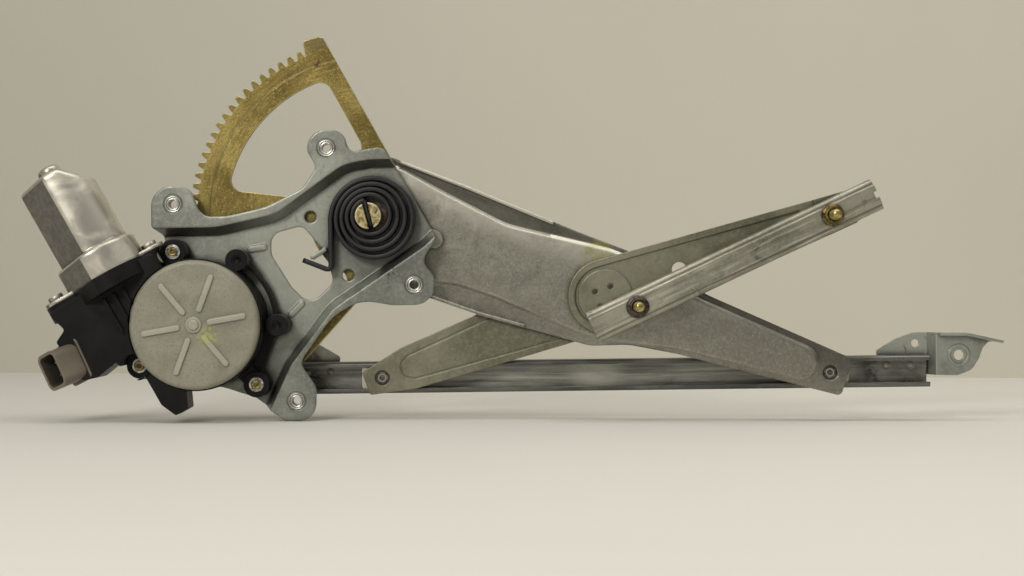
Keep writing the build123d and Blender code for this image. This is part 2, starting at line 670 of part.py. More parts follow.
def cross_arm_back():
    place = from_scissor(180 + ARM_DROP)
    body = place * back_half_outline()
    arm = slab(body, BACK_HALF_FRONT, BACK_HALF_BACK)
    groove = back_half_panel() - grown(back_half_panel(), -1.2)
    arm -= slab(place * groove, BACK_HALF_FRONT - 1, BACK_HALF_FRONT + 0.4)
    arm -= post(STUD_R, 0, 30, LOWER_SHOE_AT)
    return arm - countersink(LOWER_SHOE_AT, BACK_HALF_FRONT)


def cross_pivot_hub():
    """Hub that turns in the lift arm; both halves of the cross arm are welded to its ends."""
    hub = post(HUB_JOURNAL_R, CROSS_PANEL_BACK, ARM_BACK + RUN_GAP, SCISSOR)
    return hub + post(HUB_FLANGE_R, ARM_BACK + RUN_GAP, BACK_HALF_FRONT, SCISSOR)


def hub_welds():
    """Four projection welds that show as dimples in the raised disc."""
    front = CROSS_PANEL_FRONT - DISC_RISE
    spots = [polar(WELD_CIRCLE_R, WELD_FIRST + 90 * number, SCISSOR) for number in range(4)]
    return Compound([post(WELD_R, front - 0.25, front, spot) for spot in spots])


def lower_stud():
    return arm_stud(LOWER_SHOE_AT, BACK_HALF_FRONT, BACK_HALF_BACK)


def upper_stud():
    """Stud through the jogged tab, its journal towards the cabin side."""
    back = CROSS_TAB_FRONT + ARM_T
    stud = post(STUD_HEAD_R - SEAT_GAP, back - STUD_SINK, back, UPPER_SHOE_AT)
    stud += post(STUD_R - SEAT_GAP, CROSS_TAB_FRONT, back - STUD_SINK, UPPER_SHOE_AT)
    return stud + post(STUD_R - BORE_GAP, RAIL_SHOE_FRONT, CROSS_TAB_FRONT, UPPER_SHOE_AT)


# ---- Lift channel, shoes and glass brackets ------------------------------------------------------
def channel_plane(x):
    """Section plane across the lift channel: x is depth, y is up."""
    return Plane(origin=(x, 0, LIFT_SHOE_AT[1]), x_dir=(0, 1, 0), z_dir=(1, 0, 0))


def lift_channel():
    middle = (LIP_FRONT + WEB_BACK) / 2
    section = Pos(middle, 0) * RectangleRounded(CHANNEL_D, CHANNEL_H, 2.0)
    section -= Pos(middle, 0) * RectangleRounded(CHANNEL_D - 2 * CHANNEL_T, CHANNEL_H - 2 * CHANNEL_T, 0.6)
    section -= Pos(LIP_FRONT, 0) * Rectangle(4, CHANNEL_H - 2 * CHANNEL_LIP)
    channel = extrude(channel_plane(CHANNEL_LEFT) * section, CHANNEL_RIGHT - CHANNEL_LEFT)
    for spot in BRACKET_WELDS:
        hole = post(WELD_R + SEAT_GAP, WEB_BACK - CHANNEL_T - 1, WEB_BACK + 1, from_channel_end(*spot))
        channel -= hole + at_other_end(hole)
    return channel


def from_channel_end(x, z):
    """A spot measured from the channel's right end and its middle line."""
    return (CHANNEL_RIGHT + x, LIFT_SHOE_AT[1] + z)


def at_other_end(piece):
    """The mirror image of a piece at the channel's left end."""
    middle = (CHANNEL_LEFT + CHANNEL_RIGHT) / 2
    return mirror(piece, about=Plane(origin=(middle, 0, 0), z_dir=(1, 0, 0)))


def channel_shoe(spot):
    """Slider that fills the channel, with a round neck through its mouth."""
    height = CHANNEL_H - 2 * CHANNEL_T - 2 * SHOE_GAP
    block = Pos(*spot) * RectangleRounded(SHOE_L, height, 3)
    shoe = slab(block, LIP_FRONT + CHANNEL_T + SHOE_GAP, SHOE_STUD_END)
    neck = CHANNEL_H / 2 - CHANNEL_LIP - 0.4
    shoe += post(neck, BACK_HALF_BACK + RUN_GAP, LIP_FRONT + CHANNEL_T + SHOE_GAP, spot)
    return shoe - post(STUD_R, BACK_HALF_BACK, WEB_BACK, spot)


def lift_shoe():
    return channel_shoe(LIFT_SHOE_AT)


def lower_shoe():
    return channel_shoe(LOWER_SHOE_AT)


def glass_bracket_right():
    """Welded behind the channel's web, cranked forward past its end, with a flange along the top."""
    plan = outline(
        (-29.0, 11.9, 2), (-17.4, 18.8, 4), (-7.0, 22.4, 3), (22.4, 21.8, 10), (43.7, 16.9, 0.8),
        (35.4, 16.3, 2), (32.0, 12.6, 3), (30.2, 7.1, 5), (25.8, 0.2, 6), (17.3, -3.1, 8),
        (7.2, -2.8, 4), (-27.4, -0.9, 3),
    )
    web_side = WEB_BACK + BRACKET_T / 2
    path = Polyline((-43, web_side), (0.8, web_side), (5.4, BRACKET_DEPTH), (57, BRACKET_DEPTH))
    crank = extrude(Pos(0, 0, -30) * trace(path, BRACKET_T), 70)
    bracket = slab(plan, LIP_FRONT, WEB_BACK + 4) & crank
    flange_line = FilletPolyline((6.1, 21.3), (22.4, 21.0), (42.6, 16.35), radius=10)
    bracket += slab(trace(flange_line, BRACKET_T), BRACKET_DEPTH - 8.0, BRACKET_DEPTH + BRACKET_T / 2)
    front = BRACKET_DEPTH - BRACKET_T / 2
    bracket += slab(ring(6.4, 5.0, GLASS_HOLE), front - 0.5, front)
    bracket -= post(GLASS_HOLE_R, front - 2, front + 4, GLASS_HOLE)
    for spot in BRACKET_WELDS:
        bracket -= post(WELD_R + SEAT_GAP, WEB_BACK - 1, WEB_BACK + BRACKET_T + 1, spot)
    bracket -= post(BRACKET_PILOT_R, front - 2, WEB_BACK + 4, BRACKET_PILOT)
    end_x, end_z = from_channel_end(0, 0)
    return Pos(end_x, 0, end_z) * bracket


def glass_bracket_left():
    return at_other_end(glass_bracket_right())


def bracket_welds():
    """Plugs that join the brackets to the channel's web."""
    plugs = []
    web_front = WEB_BACK - CHANNEL_T
    for spot in BRACKET_WELDS:
        plug = post(WELD_R, web_front, WEB_BACK + BRACKET_T, from_channel_end(*spot))
        plug += post(WELD_R + 1, web_front - 0.25, web_front, from_channel_end(*spot))
        plugs += [plug, at_other_end(plug)]
    return Compound(plugs)


# ---- Equalizer rail ------------------------------------------------------------------------------
def rail_plane(distance):
    """Section plane across the rail: x is height towards the cabin side, y is across."""
    origin = polar(distance, RAIL_TILT, UPPER_SHOE_AT)
    axis = polar(1, RAIL_TILT)
    return Plane(origin=(origin[0], 0, origin[1]), x_dir=(0, -1, 0), z_dir=(axis[0], 0, axis[1]))


def rail_block(front, back, width, radius):
    """Rectangle of the rail's section between two depths."""
    return Pos(-(front + back) / 2, 0) * RectangleRounded(back - front, width, radius)


def equalizer_rail():
    shoulder = RAIL_BACK - RAIL_D
    section = rail_block(shoulder, RAIL_BACK, RAIL_W, 2.4)
    section += rail_block(shoulder - RAIL_STEP, RAIL_BACK - 4, RAIL_BAND_W, 1.0)
    section -= rail_block(shoulder + RAIL_T, RAIL_BACK - RAIL_T, RAIL_W - 2 * RAIL_T, 0.6)
    section -= rail_block(shoulder - RAIL_STEP + RAIL_T, RAIL_BACK - 4, RAIL_BAND_W - 2 * RAIL_T, 0.4)
    section -= Pos(-RAIL_BACK, 0) * Rectangle(4, RAIL_W - 2 * RAIL_LIP)
    rail = extrude(rail_plane(-RAIL_BEFORE) * section, RAIL_BEFORE + RAIL_BEYOND)
    notch = Pos(RAIL_BEYOND, 0) * Rectangle(4, 3.6)
    rail -= slab(Pos(*UPPER_SHOE_AT) * Rot(0, 0, RAIL_TILT) * notch, -20, -5)
    for spot in rail_stud_spots():
        rail -= post(RAIL_SHANK_R + SEAT_GAP, -20, -5, spot)
    return rail


def rail_stud_spots():
    return [polar(distance, RAIL_TILT, UPPER_SHOE_AT) for distance in RAIL_STUDS]


def equalizer_studs():
    """Studs pressed through the rail's web, their low heads inside it."""
    band_back = RAIL_BACK - RAIL_D - RAIL_STEP + RAIL_T
    studs = []
    for spot in rail_stud_spots():
        shoulder = band_back - RAIL_T - COLLAR_H
        stud = post(RAIL_STUD_R, shoulder - RAIL_STUD_L, shoulder, spot)
        stud += post(RAIL_SHANK_R, shoulder, band_back, spot)
        studs.append(stud + post(RAIL_STUD_R + 1.2, band_back, band_back + 1.2, spot))
    return Compound(studs)


def stud_collars():
    """Hexagon collars that clamp the studs in the rail."""
    front = RAIL_BACK - RAIL_D - RAIL_STEP
    collars = []
    for spot in rail_stud_spots():
        hexagon = RegularPolygon(COLLAR_AF / 2, 6, major_radius=False) - Circle(RAIL_SHANK_R + SEAT_GAP)
        collars.append(slab(Pos(*spot) * Rot(0, 0, RAIL_TILT) * hexagon, front - COLLAR_H, front))
    return Compound(collars)


def upper_shoe():
    width = RAIL_W - 2 * RAIL_T - 2 * SHOE_GAP
    back = RAIL_BACK - RAIL_T - SHOE_GAP
    block = Pos(*UPPER_SHOE_AT) * Rot(0, 0, RAIL_TILT) * RectangleRounded(SHOE_L, width, 3)
    shoe = slab(block, RAIL_SHOE_FRONT, back)
    shoe += post(RAIL_W / 2 - RAIL_LIP - 0.4, back, CROSS_TAB_FRONT - RUN_GAP, UPPER_SHOE_AT)
    return shoe - post(STUD_R, RAIL_SHOE_FRONT - 1, CROSS_TAB_FRONT, UPPER_SHOE_AT)


# ---- Gear housing, cover and output --------------------------------------------------------------
def worm_plane(distance):
    """Plane across the worm's axis; x faces the cabin side. The distance starts at the can's flange."""
    origin = polar(distance, WORM_AXIS, CAN_BASE)
    axis = polar(1, WORM_AXIS)
    return Plane(origin=(origin[0], WORM_DEPTH, origin[1]), x_dir=(0, -1, 0), z_dir=(axis[0], 0, axis[1]))


def along_worm(sketch, start, end):
    return extrude(worm_plane(start) * sketch, end - start)


def flange_sketch():
    """The collar's outline with an ear round each screw."""
    low, high = CAN_SCREWS_AT
    return bar((0, low), (0, high), 2 * CAN_EAR_R) + flattened(COLLAR_R, COLLAR_FLAT)


def flattened(radius, flat):
    """A circle with two flats, turned as the motor can is."""
    return Rot(0, 0, -CAN_TURN) * (Circle(radius) & Rectangle(2 * flat, 4 * radius))


def housing_shoulder():
    """Outline of the moulding beside the bowl, between the can's flange and the connector."""
    return outline(
        (-176.4, -53.2, 2), (-119.5, -20.0, 3), (-112, -30, 1), (-112, -75, 1), (-126, -92, 3),
        (-139.1, -80.8, 1), (-149.3, -88.8, 3), (-157.2, -90.5, 2), (-172.1, -69.1, 2), (-167.3, -62.3, 2),
    )


def gear_housing():
    tunnel_line = (polar(-TUNNEL_END, WORM_AXIS, CAN_BASE), CAN_BASE)
    housing = post(BOWL_R, -BOWL_D, 0, DRIVE)
    housing += slab(housing_shoulder(), -BOWL_D - 5, -10)
    housing += slab(tapered_bar(*tunnel_line, TUNNEL_W, TUNNEL_W - 4), WORM_DEPTH - 9, WORM_DEPTH + 9)
    for spot in SCREW_SPOTS:
        housing += post(LUG_R, -LUG_D, 0, spot)
        housing += slab(bar(spot, polar(BOWL_R - 6, direction_of(spot), DRIVE), LUG_WEB_W), -LUG_D + 3, 0)
    for spot in BOSS_SPOTS:
        housing += post(BOSS_R, -BOSS_D, 0, spot)
        housing += slab(bar(spot, polar(BOWL_R - 4, direction_of(spot), DRIVE), BOSS_WEB_W), -GUARD_D, 0)
    housing += slab(guard_rib(), -GUARD_D, 0)
    housing += slab(Polygon(BOSS_SPOTS[1], SCREW_SPOTS[2], DRIVE), -WEB_D, 0)
    for distance in SHOULDER_RIBS:
        housing += slab(shoulder_rib(distance), -BOWL_D - 7.5, -BOWL_D - 4)
    housing += along_worm(flange_sketch(), -9, 0)
    housing += post(SPIGOT_R, 0, PLATE_T + 0.2, DRIVE)
    housing -= post(COVER_R + 0.5, COVER_FRONT - 2, -BOWL_D, DRIVE)
    well = post(BOWL_R - 4, -BOWL_D - 1, -FLOOR_T, DRIVE)
    tunnel = slab(bar(*tunnel_line, TUNNEL_W - 1), -BOWL_D - 1, WORM_DEPTH + 8)
    well -= tunnel - post(WHEEL_R + 0.8, -BOWL_D - 12, 0, DRIVE)
    housing -= well
    housing += post(SHAFT_BUSH_R + 3.5, -BOSS_D + 5, -FLOOR_T, DRIVE)
    housing -= post(SHAFT_BUSH_R + SEAT_GAP, -BOWL_D, PLATE_T + 1, DRIVE)
    housing -= along_worm(Circle(WORM_BORE_R), -BEARING_TO, 1)
    housing -= along_worm(Circle(ROTOR_SHAFT_R + 1.5 + SEAT_GAP), -BEARING_TO, -BEARING_FROM)
    housing -= along_worm(flattened(CAN_R - CAN_WALL, CAN_FLAT - CAN_WALL), -6, 1)
    for offset_y in CAN_SCREWS_AT:
        housing -= along_worm(Pos(0, offset_y) * Circle(SCREW_R + SEAT_GAP), -20, 1)
    for spot in SCREW_SPOTS:
        housing -= post(SCREW_R + 0.3, -LUG_D - 1, PLATE_T + 1, spot)
        housing -= post(LUG_R, -60, -LUG_D, spot)
    housing -= plug_socket()
    for spot in BOSS_SPOTS:
        housing -= post(2.6, -BOSS_D - 1, -BOSS_D + 9, spot)
    return housing


def direction_of(spot):
    return degrees(atan2(spot[1] - DRIVE[1], spot[0] - DRIVE[0]))


def tapered_bar(start, end, start_width, end_width):
    """A straight strip, narrower at its start."""
    angle = degrees(atan2(end[1] - start[1], end[0] - start[0]))
    length = hypot(end[0] - start[0], end[1] - start[1])
    return Pos(*start) * Rot(0, 0, angle) * outline(
        (0, -start_width / 4, 1), (0, start_width / 4, 1), (9, start_width / 2, 2),
        (length, end_width / 2 + 2, 0), (length, -end_width / 2 - 2, 0), (9, -start_width / 2, 2),
    )


def shoulder_rib(distance):
    """Stiffening rib on the shoulder, beside the worm's tunnel and parallel to it."""
    start = polar(distance, WORM_AXIS + 90, polar(-12, WORM_AXIS, CAN_BASE))
    return bar(start, polar(-20, WORM_AXIS, start), 1.8)


def guard_rib():
    """Thin curved wall between the two bosses."""
    band = ring(BOWL_R + 6.2, BOWL_R + 4.2, DRIVE)
    sector = [DRIVE, polar(70, 1, DRIVE), polar(80, 31, DRIVE), polar(70, 61, DRIVE)]
    return band & Polygon(*sector)


def gear_cover():
    """Pressed cap over the bowl, with six embossed spokes."""
    cover = post(COVER_R, COVER_FRONT, -BOWL_D, DRIVE)
    cover = fillet(cover.edges().group_by(Axis.Y)[0], 2.4)
    cover -= post(COVER_R - COVER_T, COVER_FRONT + COVER_T, -BOWL_D + 1, DRIVE)
    spokes = Sketch()
    for number in range(RIB_COUNT):
        direction = RIB_FIRST + 60 * number
        start = polar(RIB_INNER, direction, DRIVE)
        end = polar(RIB_OUTER - RIB_W / 2, direction, DRIVE)
        spokes += bar(start, end, RIB_W)
    cover += slab(spokes, COVER_FRONT - 1.0, COVER_FRONT)
    cover += post(4.4, COVER_FRONT - 0.8, COVER_FRONT, DRIVE)
    return cover + post(2.75, COVER_FRONT - 1.6, COVER_FRONT - 0.8, DRIVE)


def cover_seal():
    """Flat ring squeezed between the bowl's rim and the cover."""
    return slab(ring(COVER_R - COVER_T - 0.1, BOWL_R - 4 + 0.1, DRIVE), -BOWL_D - 1.0, -BOWL_D)


def output_bush():
    return post(SHAFT_BUSH_R, -BOSS_D + 5, PLATE_T + 0.2, DRIVE) - post(SHAFT_R + BORE_GAP, -40, 20, DRIVE)


def drive_vanes(first, inner, outer, width):
    """Three radial bars round the drive's axis."""
    vanes = Sketch()
    for number in range(3):
        middle = polar((inner + outer) / 2, first + 120 * number, DRIVE)
        vanes += Pos(*middle) * Rot(0, 0, first + 120 * number) * Rectangle(outer - inner, width)
    return vanes


def worm_wheel():
    """Cup-shaped wheel whose three inner vanes push on the damper."""
    wheel = slab(ring(WHEEL_R, DAMPER_R, DRIVE), WHEEL_FRONT, WHEEL_BACK)
    wheel += slab(ring(DAMPER_R, SHAFT_R + BORE_GAP, DRIVE), DAMPER_BACK, WHEEL_BACK)
    wheel += slab(ring(DAMPER_HOLE_R, SHAFT_R + BORE_GAP, DRIVE), DAMPER_FRONT, DAMPER_BACK)
    return wheel + slab(drive_vanes(30, DAMPER_HOLE_R - 1, DAMPER_R + 0.5, 3), DAMPER_FRONT, DAMPER_BACK)


def drive_damper():
    """Rubber cushion between the wheel's vanes and the drive plate's fingers."""
    pad = ring(DAMPER_R, DAMPER_HOLE_R, DRIVE)
    pad -= drive_vanes(30, DAMPER_HOLE_R - 1, DAMPER_R + 0.5, 3)
    return slab(pad - drive_vanes(90, DAMPER_HOLE_R + 2, DAMPER_R - 2, 3), DAMPER_FRONT, DAMPER_BACK)


def output_shaft():
    """Shaft with the drive plate and its fingers at the cover's side and the pinion's seat behind."""
    shaft = post(SHAFT_R, DAMPER_FRONT, SHAFT_END, DRIVE) + post(SHAFT_R, WHEEL_FRONT, DAMPER_FRONT, DRIVE)
    shaft += post(DAMPER_R - 1, WHEEL_FRONT, DAMPER_FRONT, DRIVE)
    shaft += slab(drive_vanes(90, DAMPER_HOLE_R + 2, DAMPER_R - 2, 3), DAMPER_FRONT, DAMPER_BACK - 1)
    return shaft + post(3, COVER_FRONT + COVER_T + RUN_GAP, WHEEL_FRONT, DRIVE)


def output_pinion():
    """Pinion turned so that one of its gaps faces the sector tooth beside the line of centres."""
    pitch = 360 / PINION_TEETH
    profile = disc(PINION_ROOT_R + 0.01, DRIVE)
    for number in range(PINION_TEETH):
        direction = DRIVE_ANGLE + 180 + (TEETH_BEFORE_DRIVE - 0.5 + number) * pitch
        profile += Pos(*DRIVE) * Polygon(*tooth(PINION_TEETH, PINION_TIP_R, PINION_ROOT_R - 0.5, direction))
    return slab(profile - disc(SHAFT_R + SEAT_GAP, DRIVE), GEAR_FRONT - 0.9, ARM_FRONT + 0.9)


# ---- Motor ---------------------------------------------------------------------------------------
def can_body(start, inset):
    """The can's cylinder with its flats and sloping end, drawn inwards by an inset."""
    body = along_worm(flattened(CAN_R - inset, CAN_FLAT - inset), start, CAN_L - inset)
    sum_at_edge = CAN_L + CAN_SLOPE_FROM - inset * 2 ** 0.5
    across = Plane(origin=worm_plane(0).origin, x_dir=worm_plane(0).y_dir, z_dir=(0, -1, 0))
    corner = Polygon(
        (sum_at_edge - 40, 40), (sum_at_edge - 40, CAN_L + 20), (sum_at_edge - CAN_L - 20, CAN_L + 20),
        align=None,
    )
    return body - extrude(across * corner, 40, both=True)


def rounded_end(solid, radius):
    """Rounds every edge of a solid but those round its base end."""
    axis_line = Axis(worm_plane(0).origin, worm_plane(0).z_dir)
    base = solid.faces().sort_by(axis_line)[0].edges()
    return fillet([edge for edge in solid.edges() if edge not in base], radius)


def motor_can():
    """Drawn steel can with two flats, a flux collar, a screw flange and a bearing boss at its end."""
    collar = along_worm(flattened(COLLAR_R, COLLAR_FLAT), 0, COLLAR_L)
    boss = along_worm(Circle(CAN_BOSS_R), CAN_L - CAN_WALL, CAN_L + CAN_BOSS_H)
    can = along_worm(flange_sketch(), 0, FLANGE_T) + rounded_end(collar, COLLAR_CORNER_R)
    can += rounded_end(can_body(0, 0), CAN_CORNER_R)
    can += rounded_end(boss, CAN_BOSS_CORNER_R)
    can -= can_body(-1, CAN_WALL)
    can -= along_worm(Circle(REAR_BEARING_R + SEAT_GAP), CAN_L - 5, CAN_L + CAN_BOSS_H - CAN_WALL)
    for offset_y in CAN_SCREWS_AT:
        can -= along_worm(Pos(0, offset_y) * Circle(SCREW_R + SEAT_GAP), -1, FLANGE_T + 1)
    return can


def can_screws():
    """Screws that pull the can's flange onto the housing."""
    screws = []
    for offset_y in CAN_SCREWS_AT:
        spot = Pos(0, offset_y)
        screw = along_worm(spot * Circle(SCREW_R), -9, FLANGE_T)
        screw += along_worm(spot * Circle(CAN_SCREW_HEAD_R), FLANGE_T, FLANGE_T + 1.6)
        slotted = spot * (Circle(CAN_SCREW_HEAD_R) - Rectangle(5, 1.2))
        screws.append(screw + along_worm(slotted, FLANGE_T + 1.6, FLANGE_T + 2.8))
    return Compound(screws)


def rear_bearing():
    sleeve = Circle(REAR_BEARING_R) - Circle(ROTOR_SHAFT_R + BORE_GAP)
    return along_worm(sleeve, CAN_L - CAN_WALL, CAN_L + CAN_BOSS_H - CAN_WALL - 0.3)


def worm_bearing():
    """Sintered bush at the far end of the worm's tunnel."""
    outer = Circle(ROTOR_SHAFT_R + 1.5)
    return along_worm(outer - Circle(ROTOR_SHAFT_R + BORE_GAP), -BEARING_TO + 0.5, -BEARING_FROM)


def motor_magnets():
    """Two curved magnets against the can's round sides."""
    band = Circle(CAN_R - CAN_WALL - SEAT_GAP) - Circle(CAN_R - CAN_WALL - MAGNET_T)
    arcs = Rot(0, 0, -CAN_TURN) * (band & Rectangle(MAGNET_W, CLEAR_W))
    return along_worm(arcs, CORE_FROM - MAGNET_OVERLAP, CORE_TO + MAGNET_OVERLAP)


def brush_holder():
    plate = Circle(CAN_FLAT - CAN_WALL - 0.4) - Circle(COMMUTATOR_R + 2)
    return along_worm(plate, BRUSH_PLATE_FROM, BRUSH_PLATE_TO)


def carbon_brushes():
    """Two carbon blocks that press on the commutator from either side."""
    reach = COMMUTATOR_R + BRUSH_L / 2 + 0.4
    brushes = [Pos(0, side * reach) * Rectangle(BRUSH_W, BRUSH_L) for side in (-1, 1)]
    return Compound([along_worm(brush, BRUSH_PLATE_TO, BRUSH_PLATE_TO + BRUSH_H) for brush in brushes])


def worm_shaft():
    shaft = along_worm(Circle(ROTOR_SHAFT_R), -BEARING_TO + 0.8, CAN_L + CAN_BOSS_H - CAN_WALL - 0.6)
    worm = FLANGE_FROM_WORM
    return shaft + along_worm(Circle(WORM_CORE_R), -worm - WORM_HALF_L, -worm + WORM_HALF_L)


def armature_core():
    """Laminated stack with twelve winding slots."""
    stack = Circle(ROTOR_R) - Circle(ROTOR_SHAFT_R + SEAT_GAP)
    for number in range(CORE_SLOTS):
        stack -= Rot(0, 0, 360 / CORE_SLOTS * number) * Pos(ROTOR_R - 2.2, 0) * Rectangle(5.2, 2.2)
    return along_worm(stack, CORE_FROM, CORE_TO)


def armature_windings():
    """Coil ends on both faces of the stack, and the wire in its slots."""
    heads = Circle(ROTOR_R - 1.2) - Circle(ROTOR_SHAFT_R + SEAT_GAP)
    wire = Sketch()
    for number in range(CORE_SLOTS):
        wire += Rot(0, 0, 360 / CORE_SLOTS * number) * Pos(ROTOR_R - 2.7, 0) * Rectangle(4.0, 2.1)
    windings = along_worm(heads, CORE_TO, CORE_TO + COIL_HEAD)
    windings += along_worm(heads, COMMUTATOR_TO + 0.4, CORE_FROM)
    return windings + along_worm(wire, CORE_FROM - 1, CORE_TO + 1)


def commutator():
    segments = Circle(COMMUTATOR_R) - Circle(ROTOR_SHAFT_R + SEAT_GAP)
    return along_worm(segments, COMMUTATOR_FROM, COMMUTATOR_TO)


# ---- Screws and connector ------------------------------------------------------------------------
def housing_screws():
    """Screws through the housing's lugs into the base plate."""
    screws = []
    for spot in SCREW_SPOTS:
        screw = post(SCREW_R, -LUG_D, PLATE_T + 2.2, spot)
        screw += post(SCREW_WASHER_R, -LUG_D - 0.8, -LUG_D, spot)
        screw += post(SCREW_HEAD_R, -LUG_D - 2.0, -LUG_D - 0.8, spot)
        screw += post(SCREW_R + 1.5, PLATE_T, PLATE_T + 1.2, spot)
        screws.append(screw - post(SCREW_RECESS_R, -LUG_D - 3, -LUG_D - 1.2, spot))
    return Compound(screws)


def plug_plane(distance):
    """Plane across the connector's socket at a distance from its root."""
    tilt = radians(PLUG_TILT)
    lean = polar(sin(tilt), PLUG_HEADING)
    axis = (lean[0], -cos(tilt), lean[1])
    root = Vector(PLUG_ROOT[0], PLUG_ROOT_Y, PLUG_ROOT[1])
    side = polar(1, PLUG_HEADING + 90)
    return Plane(origin=root + Vector(*axis) * distance, x_dir=(side[0], 0, side[1]), z_dir=axis)


def along_plug(sketch, start, end):
    return extrude(plug_plane(start) * sketch, end - start)


def plug_socket():
    inner = RectangleRounded(PLUG_H - 2 * PLUG_WALL, PLUG_W - 2 * PLUG_WALL, PLUG_CORNER_R - PLUG_WALL)
    return along_plug(inner, SOCKET_FLOOR, PLUG_L + 8)


def connector_shroud():
    """Rounded socket on a solid root set into the housing."""
    shroud = along_plug(RectangleRounded(PLUG_H, PLUG_W, PLUG_CORNER_R), -6, PLUG_L) - plug_socket()
    return (shroud - gear_housing()).solids().sort_by(SortBy.VOLUME)[-1]


def connector_terminals():
    blades = [Pos(side * 3.6, 0) * Rectangle(0.8, 2.8) for side in (-1, 1)]
    return Compound([along_plug(blade, SOCKET_FLOOR, PLUG_L - 5) for blade in blades])


# ---- Files ---------------------------------------------------------------------------------------
PIECES = (
    base_plate, mounting_nuts, pivot_bush, spiral_spring, gear_housing, gear_cover, cover_seal,
    output_bush, motor_can, motor_magnets, brush_holder, carbon_brushes, rear_bearing, worm_bearing,
    can_screws, housing_screws, connector_shroud, connector_terminals, sector_gear, lift_arm,
    arm_rivets, pivot_pin, lift_stud, cross_arm_front, cross_arm_back, cross_pivot_hub, hub_welds,
    lower_stud, upper_stud, lift_shoe, lower_shoe, upper_shoe, lift_channel, glass_bracket_right,
    glass_bracket_left, bracket_welds, equalizer_rail, equalizer_studs, stud_collars, worm_wheel,
    drive_damper, output_shaft, output_pinion, worm_shaft, armature_core, armature_windings, commutator,
)

ear_x, ear_z = EAR_HOLES[UPPER_EAR]
to_row_frame = Pos(-ear_x, NUT_PROUD - RIM_FRONT, -ear_z)
os.makedirs("parts", exist_ok=True)
for piece in PIECES:
    export_step(to_row_frame * piece(), f"parts/{piece.__name__}.step")
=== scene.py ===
import json
import math

import bmesh
import bpy
from mathutils import Matrix, Vector


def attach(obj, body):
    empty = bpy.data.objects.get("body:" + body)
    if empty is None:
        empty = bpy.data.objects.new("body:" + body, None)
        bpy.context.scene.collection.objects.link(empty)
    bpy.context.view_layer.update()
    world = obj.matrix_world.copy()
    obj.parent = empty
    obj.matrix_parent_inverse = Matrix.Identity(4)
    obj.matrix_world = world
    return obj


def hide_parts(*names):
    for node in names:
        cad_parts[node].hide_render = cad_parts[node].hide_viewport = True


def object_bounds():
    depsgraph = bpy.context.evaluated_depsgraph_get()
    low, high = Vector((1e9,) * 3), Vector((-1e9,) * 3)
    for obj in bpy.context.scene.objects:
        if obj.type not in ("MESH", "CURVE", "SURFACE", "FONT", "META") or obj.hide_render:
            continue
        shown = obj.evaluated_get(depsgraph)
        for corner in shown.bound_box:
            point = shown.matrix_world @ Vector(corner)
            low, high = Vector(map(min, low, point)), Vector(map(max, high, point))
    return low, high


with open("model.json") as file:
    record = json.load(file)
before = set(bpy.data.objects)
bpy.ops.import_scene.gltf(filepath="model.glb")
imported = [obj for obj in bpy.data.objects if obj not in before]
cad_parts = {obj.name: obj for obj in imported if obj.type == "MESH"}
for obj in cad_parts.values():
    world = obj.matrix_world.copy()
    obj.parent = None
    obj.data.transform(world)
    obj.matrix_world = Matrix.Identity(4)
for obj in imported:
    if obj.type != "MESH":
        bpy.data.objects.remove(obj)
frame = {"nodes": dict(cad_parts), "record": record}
CAD_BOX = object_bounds()

# ---- Places and directions in the part's frame, in metres ----------------------------------------
MM = 0.001
PIVOT = Vector((23.3, 10.5, -38.7)) * MM          # the lift arm's axis, at the base plate's front face


def at(x, y, z):
    """A place given in millimetres from the lift arm's pivot."""
    return PIVOT + Vector((x, y, z)) * MM


def heading(angle):
    """A direction in the drawing plane, given in degrees counterclockwise from rightwards."""
    return Vector((math.cos(math.radians(angle)), 0, math.sin(math.radians(angle))))


def depth_at(y):
    return at(0, y, 0).y


EARS = [at(x, -10.5, z) for x, z in ((-110.6, 8.0), (-23.3, 38.7), (25.6, -39.4), (-41.8, -104.6))]
SCREWS = [at(x, -15, z) for x, z in ((-110.1, -19.3), (-129.5, -83.3), (-63.8, -94.7))]
STUDS = (at(5.47, 0, -93.07), at(264.29, 0, -93.07))
DRIVE = at(-95.51, -34.5, -60.38)                 # middle of the gear cover's front
SCISSOR = at(134.88, 3.5, -47.5)                  # middle of the cross arm's raised disc
ARM_DROP = 19.4                                   # degrees, like every heading
ARM_ALONG = heading(-ARM_DROP)
ARM_ACROSS = heading(90 - ARM_DROP)
RAIL_RISE = 24.9
RAIL_ALONG = heading(RAIL_RISE)
RAIL_ACROSS = heading(90 + RAIL_RISE)
WORM_HEADING = 119.0
CAN_ALONG = heading(WORM_HEADING)
CAN_ACROSS = heading(WORM_HEADING - 90)
CAN_BASE = at(-145.3, -22.0, -32.5)
CAN_FLAT_FACES = (Vector((0, -1, 0)) - CAN_ACROSS).normalized()
SOCKET_ROOT = at(-158, -20, -78)
SOCKET_LEAN = math.radians(42)
SOCKET_HEADING = 204.0
SOCKET_OUT = heading(SOCKET_HEADING) * math.sin(SOCKET_LEAN) - Vector((0, math.cos(SOCKET_LEAN), 0))
SOCKET_UP = heading(SOCKET_HEADING + 90)
SOCKET_SIDE = SOCKET_OUT.cross(SOCKET_UP)

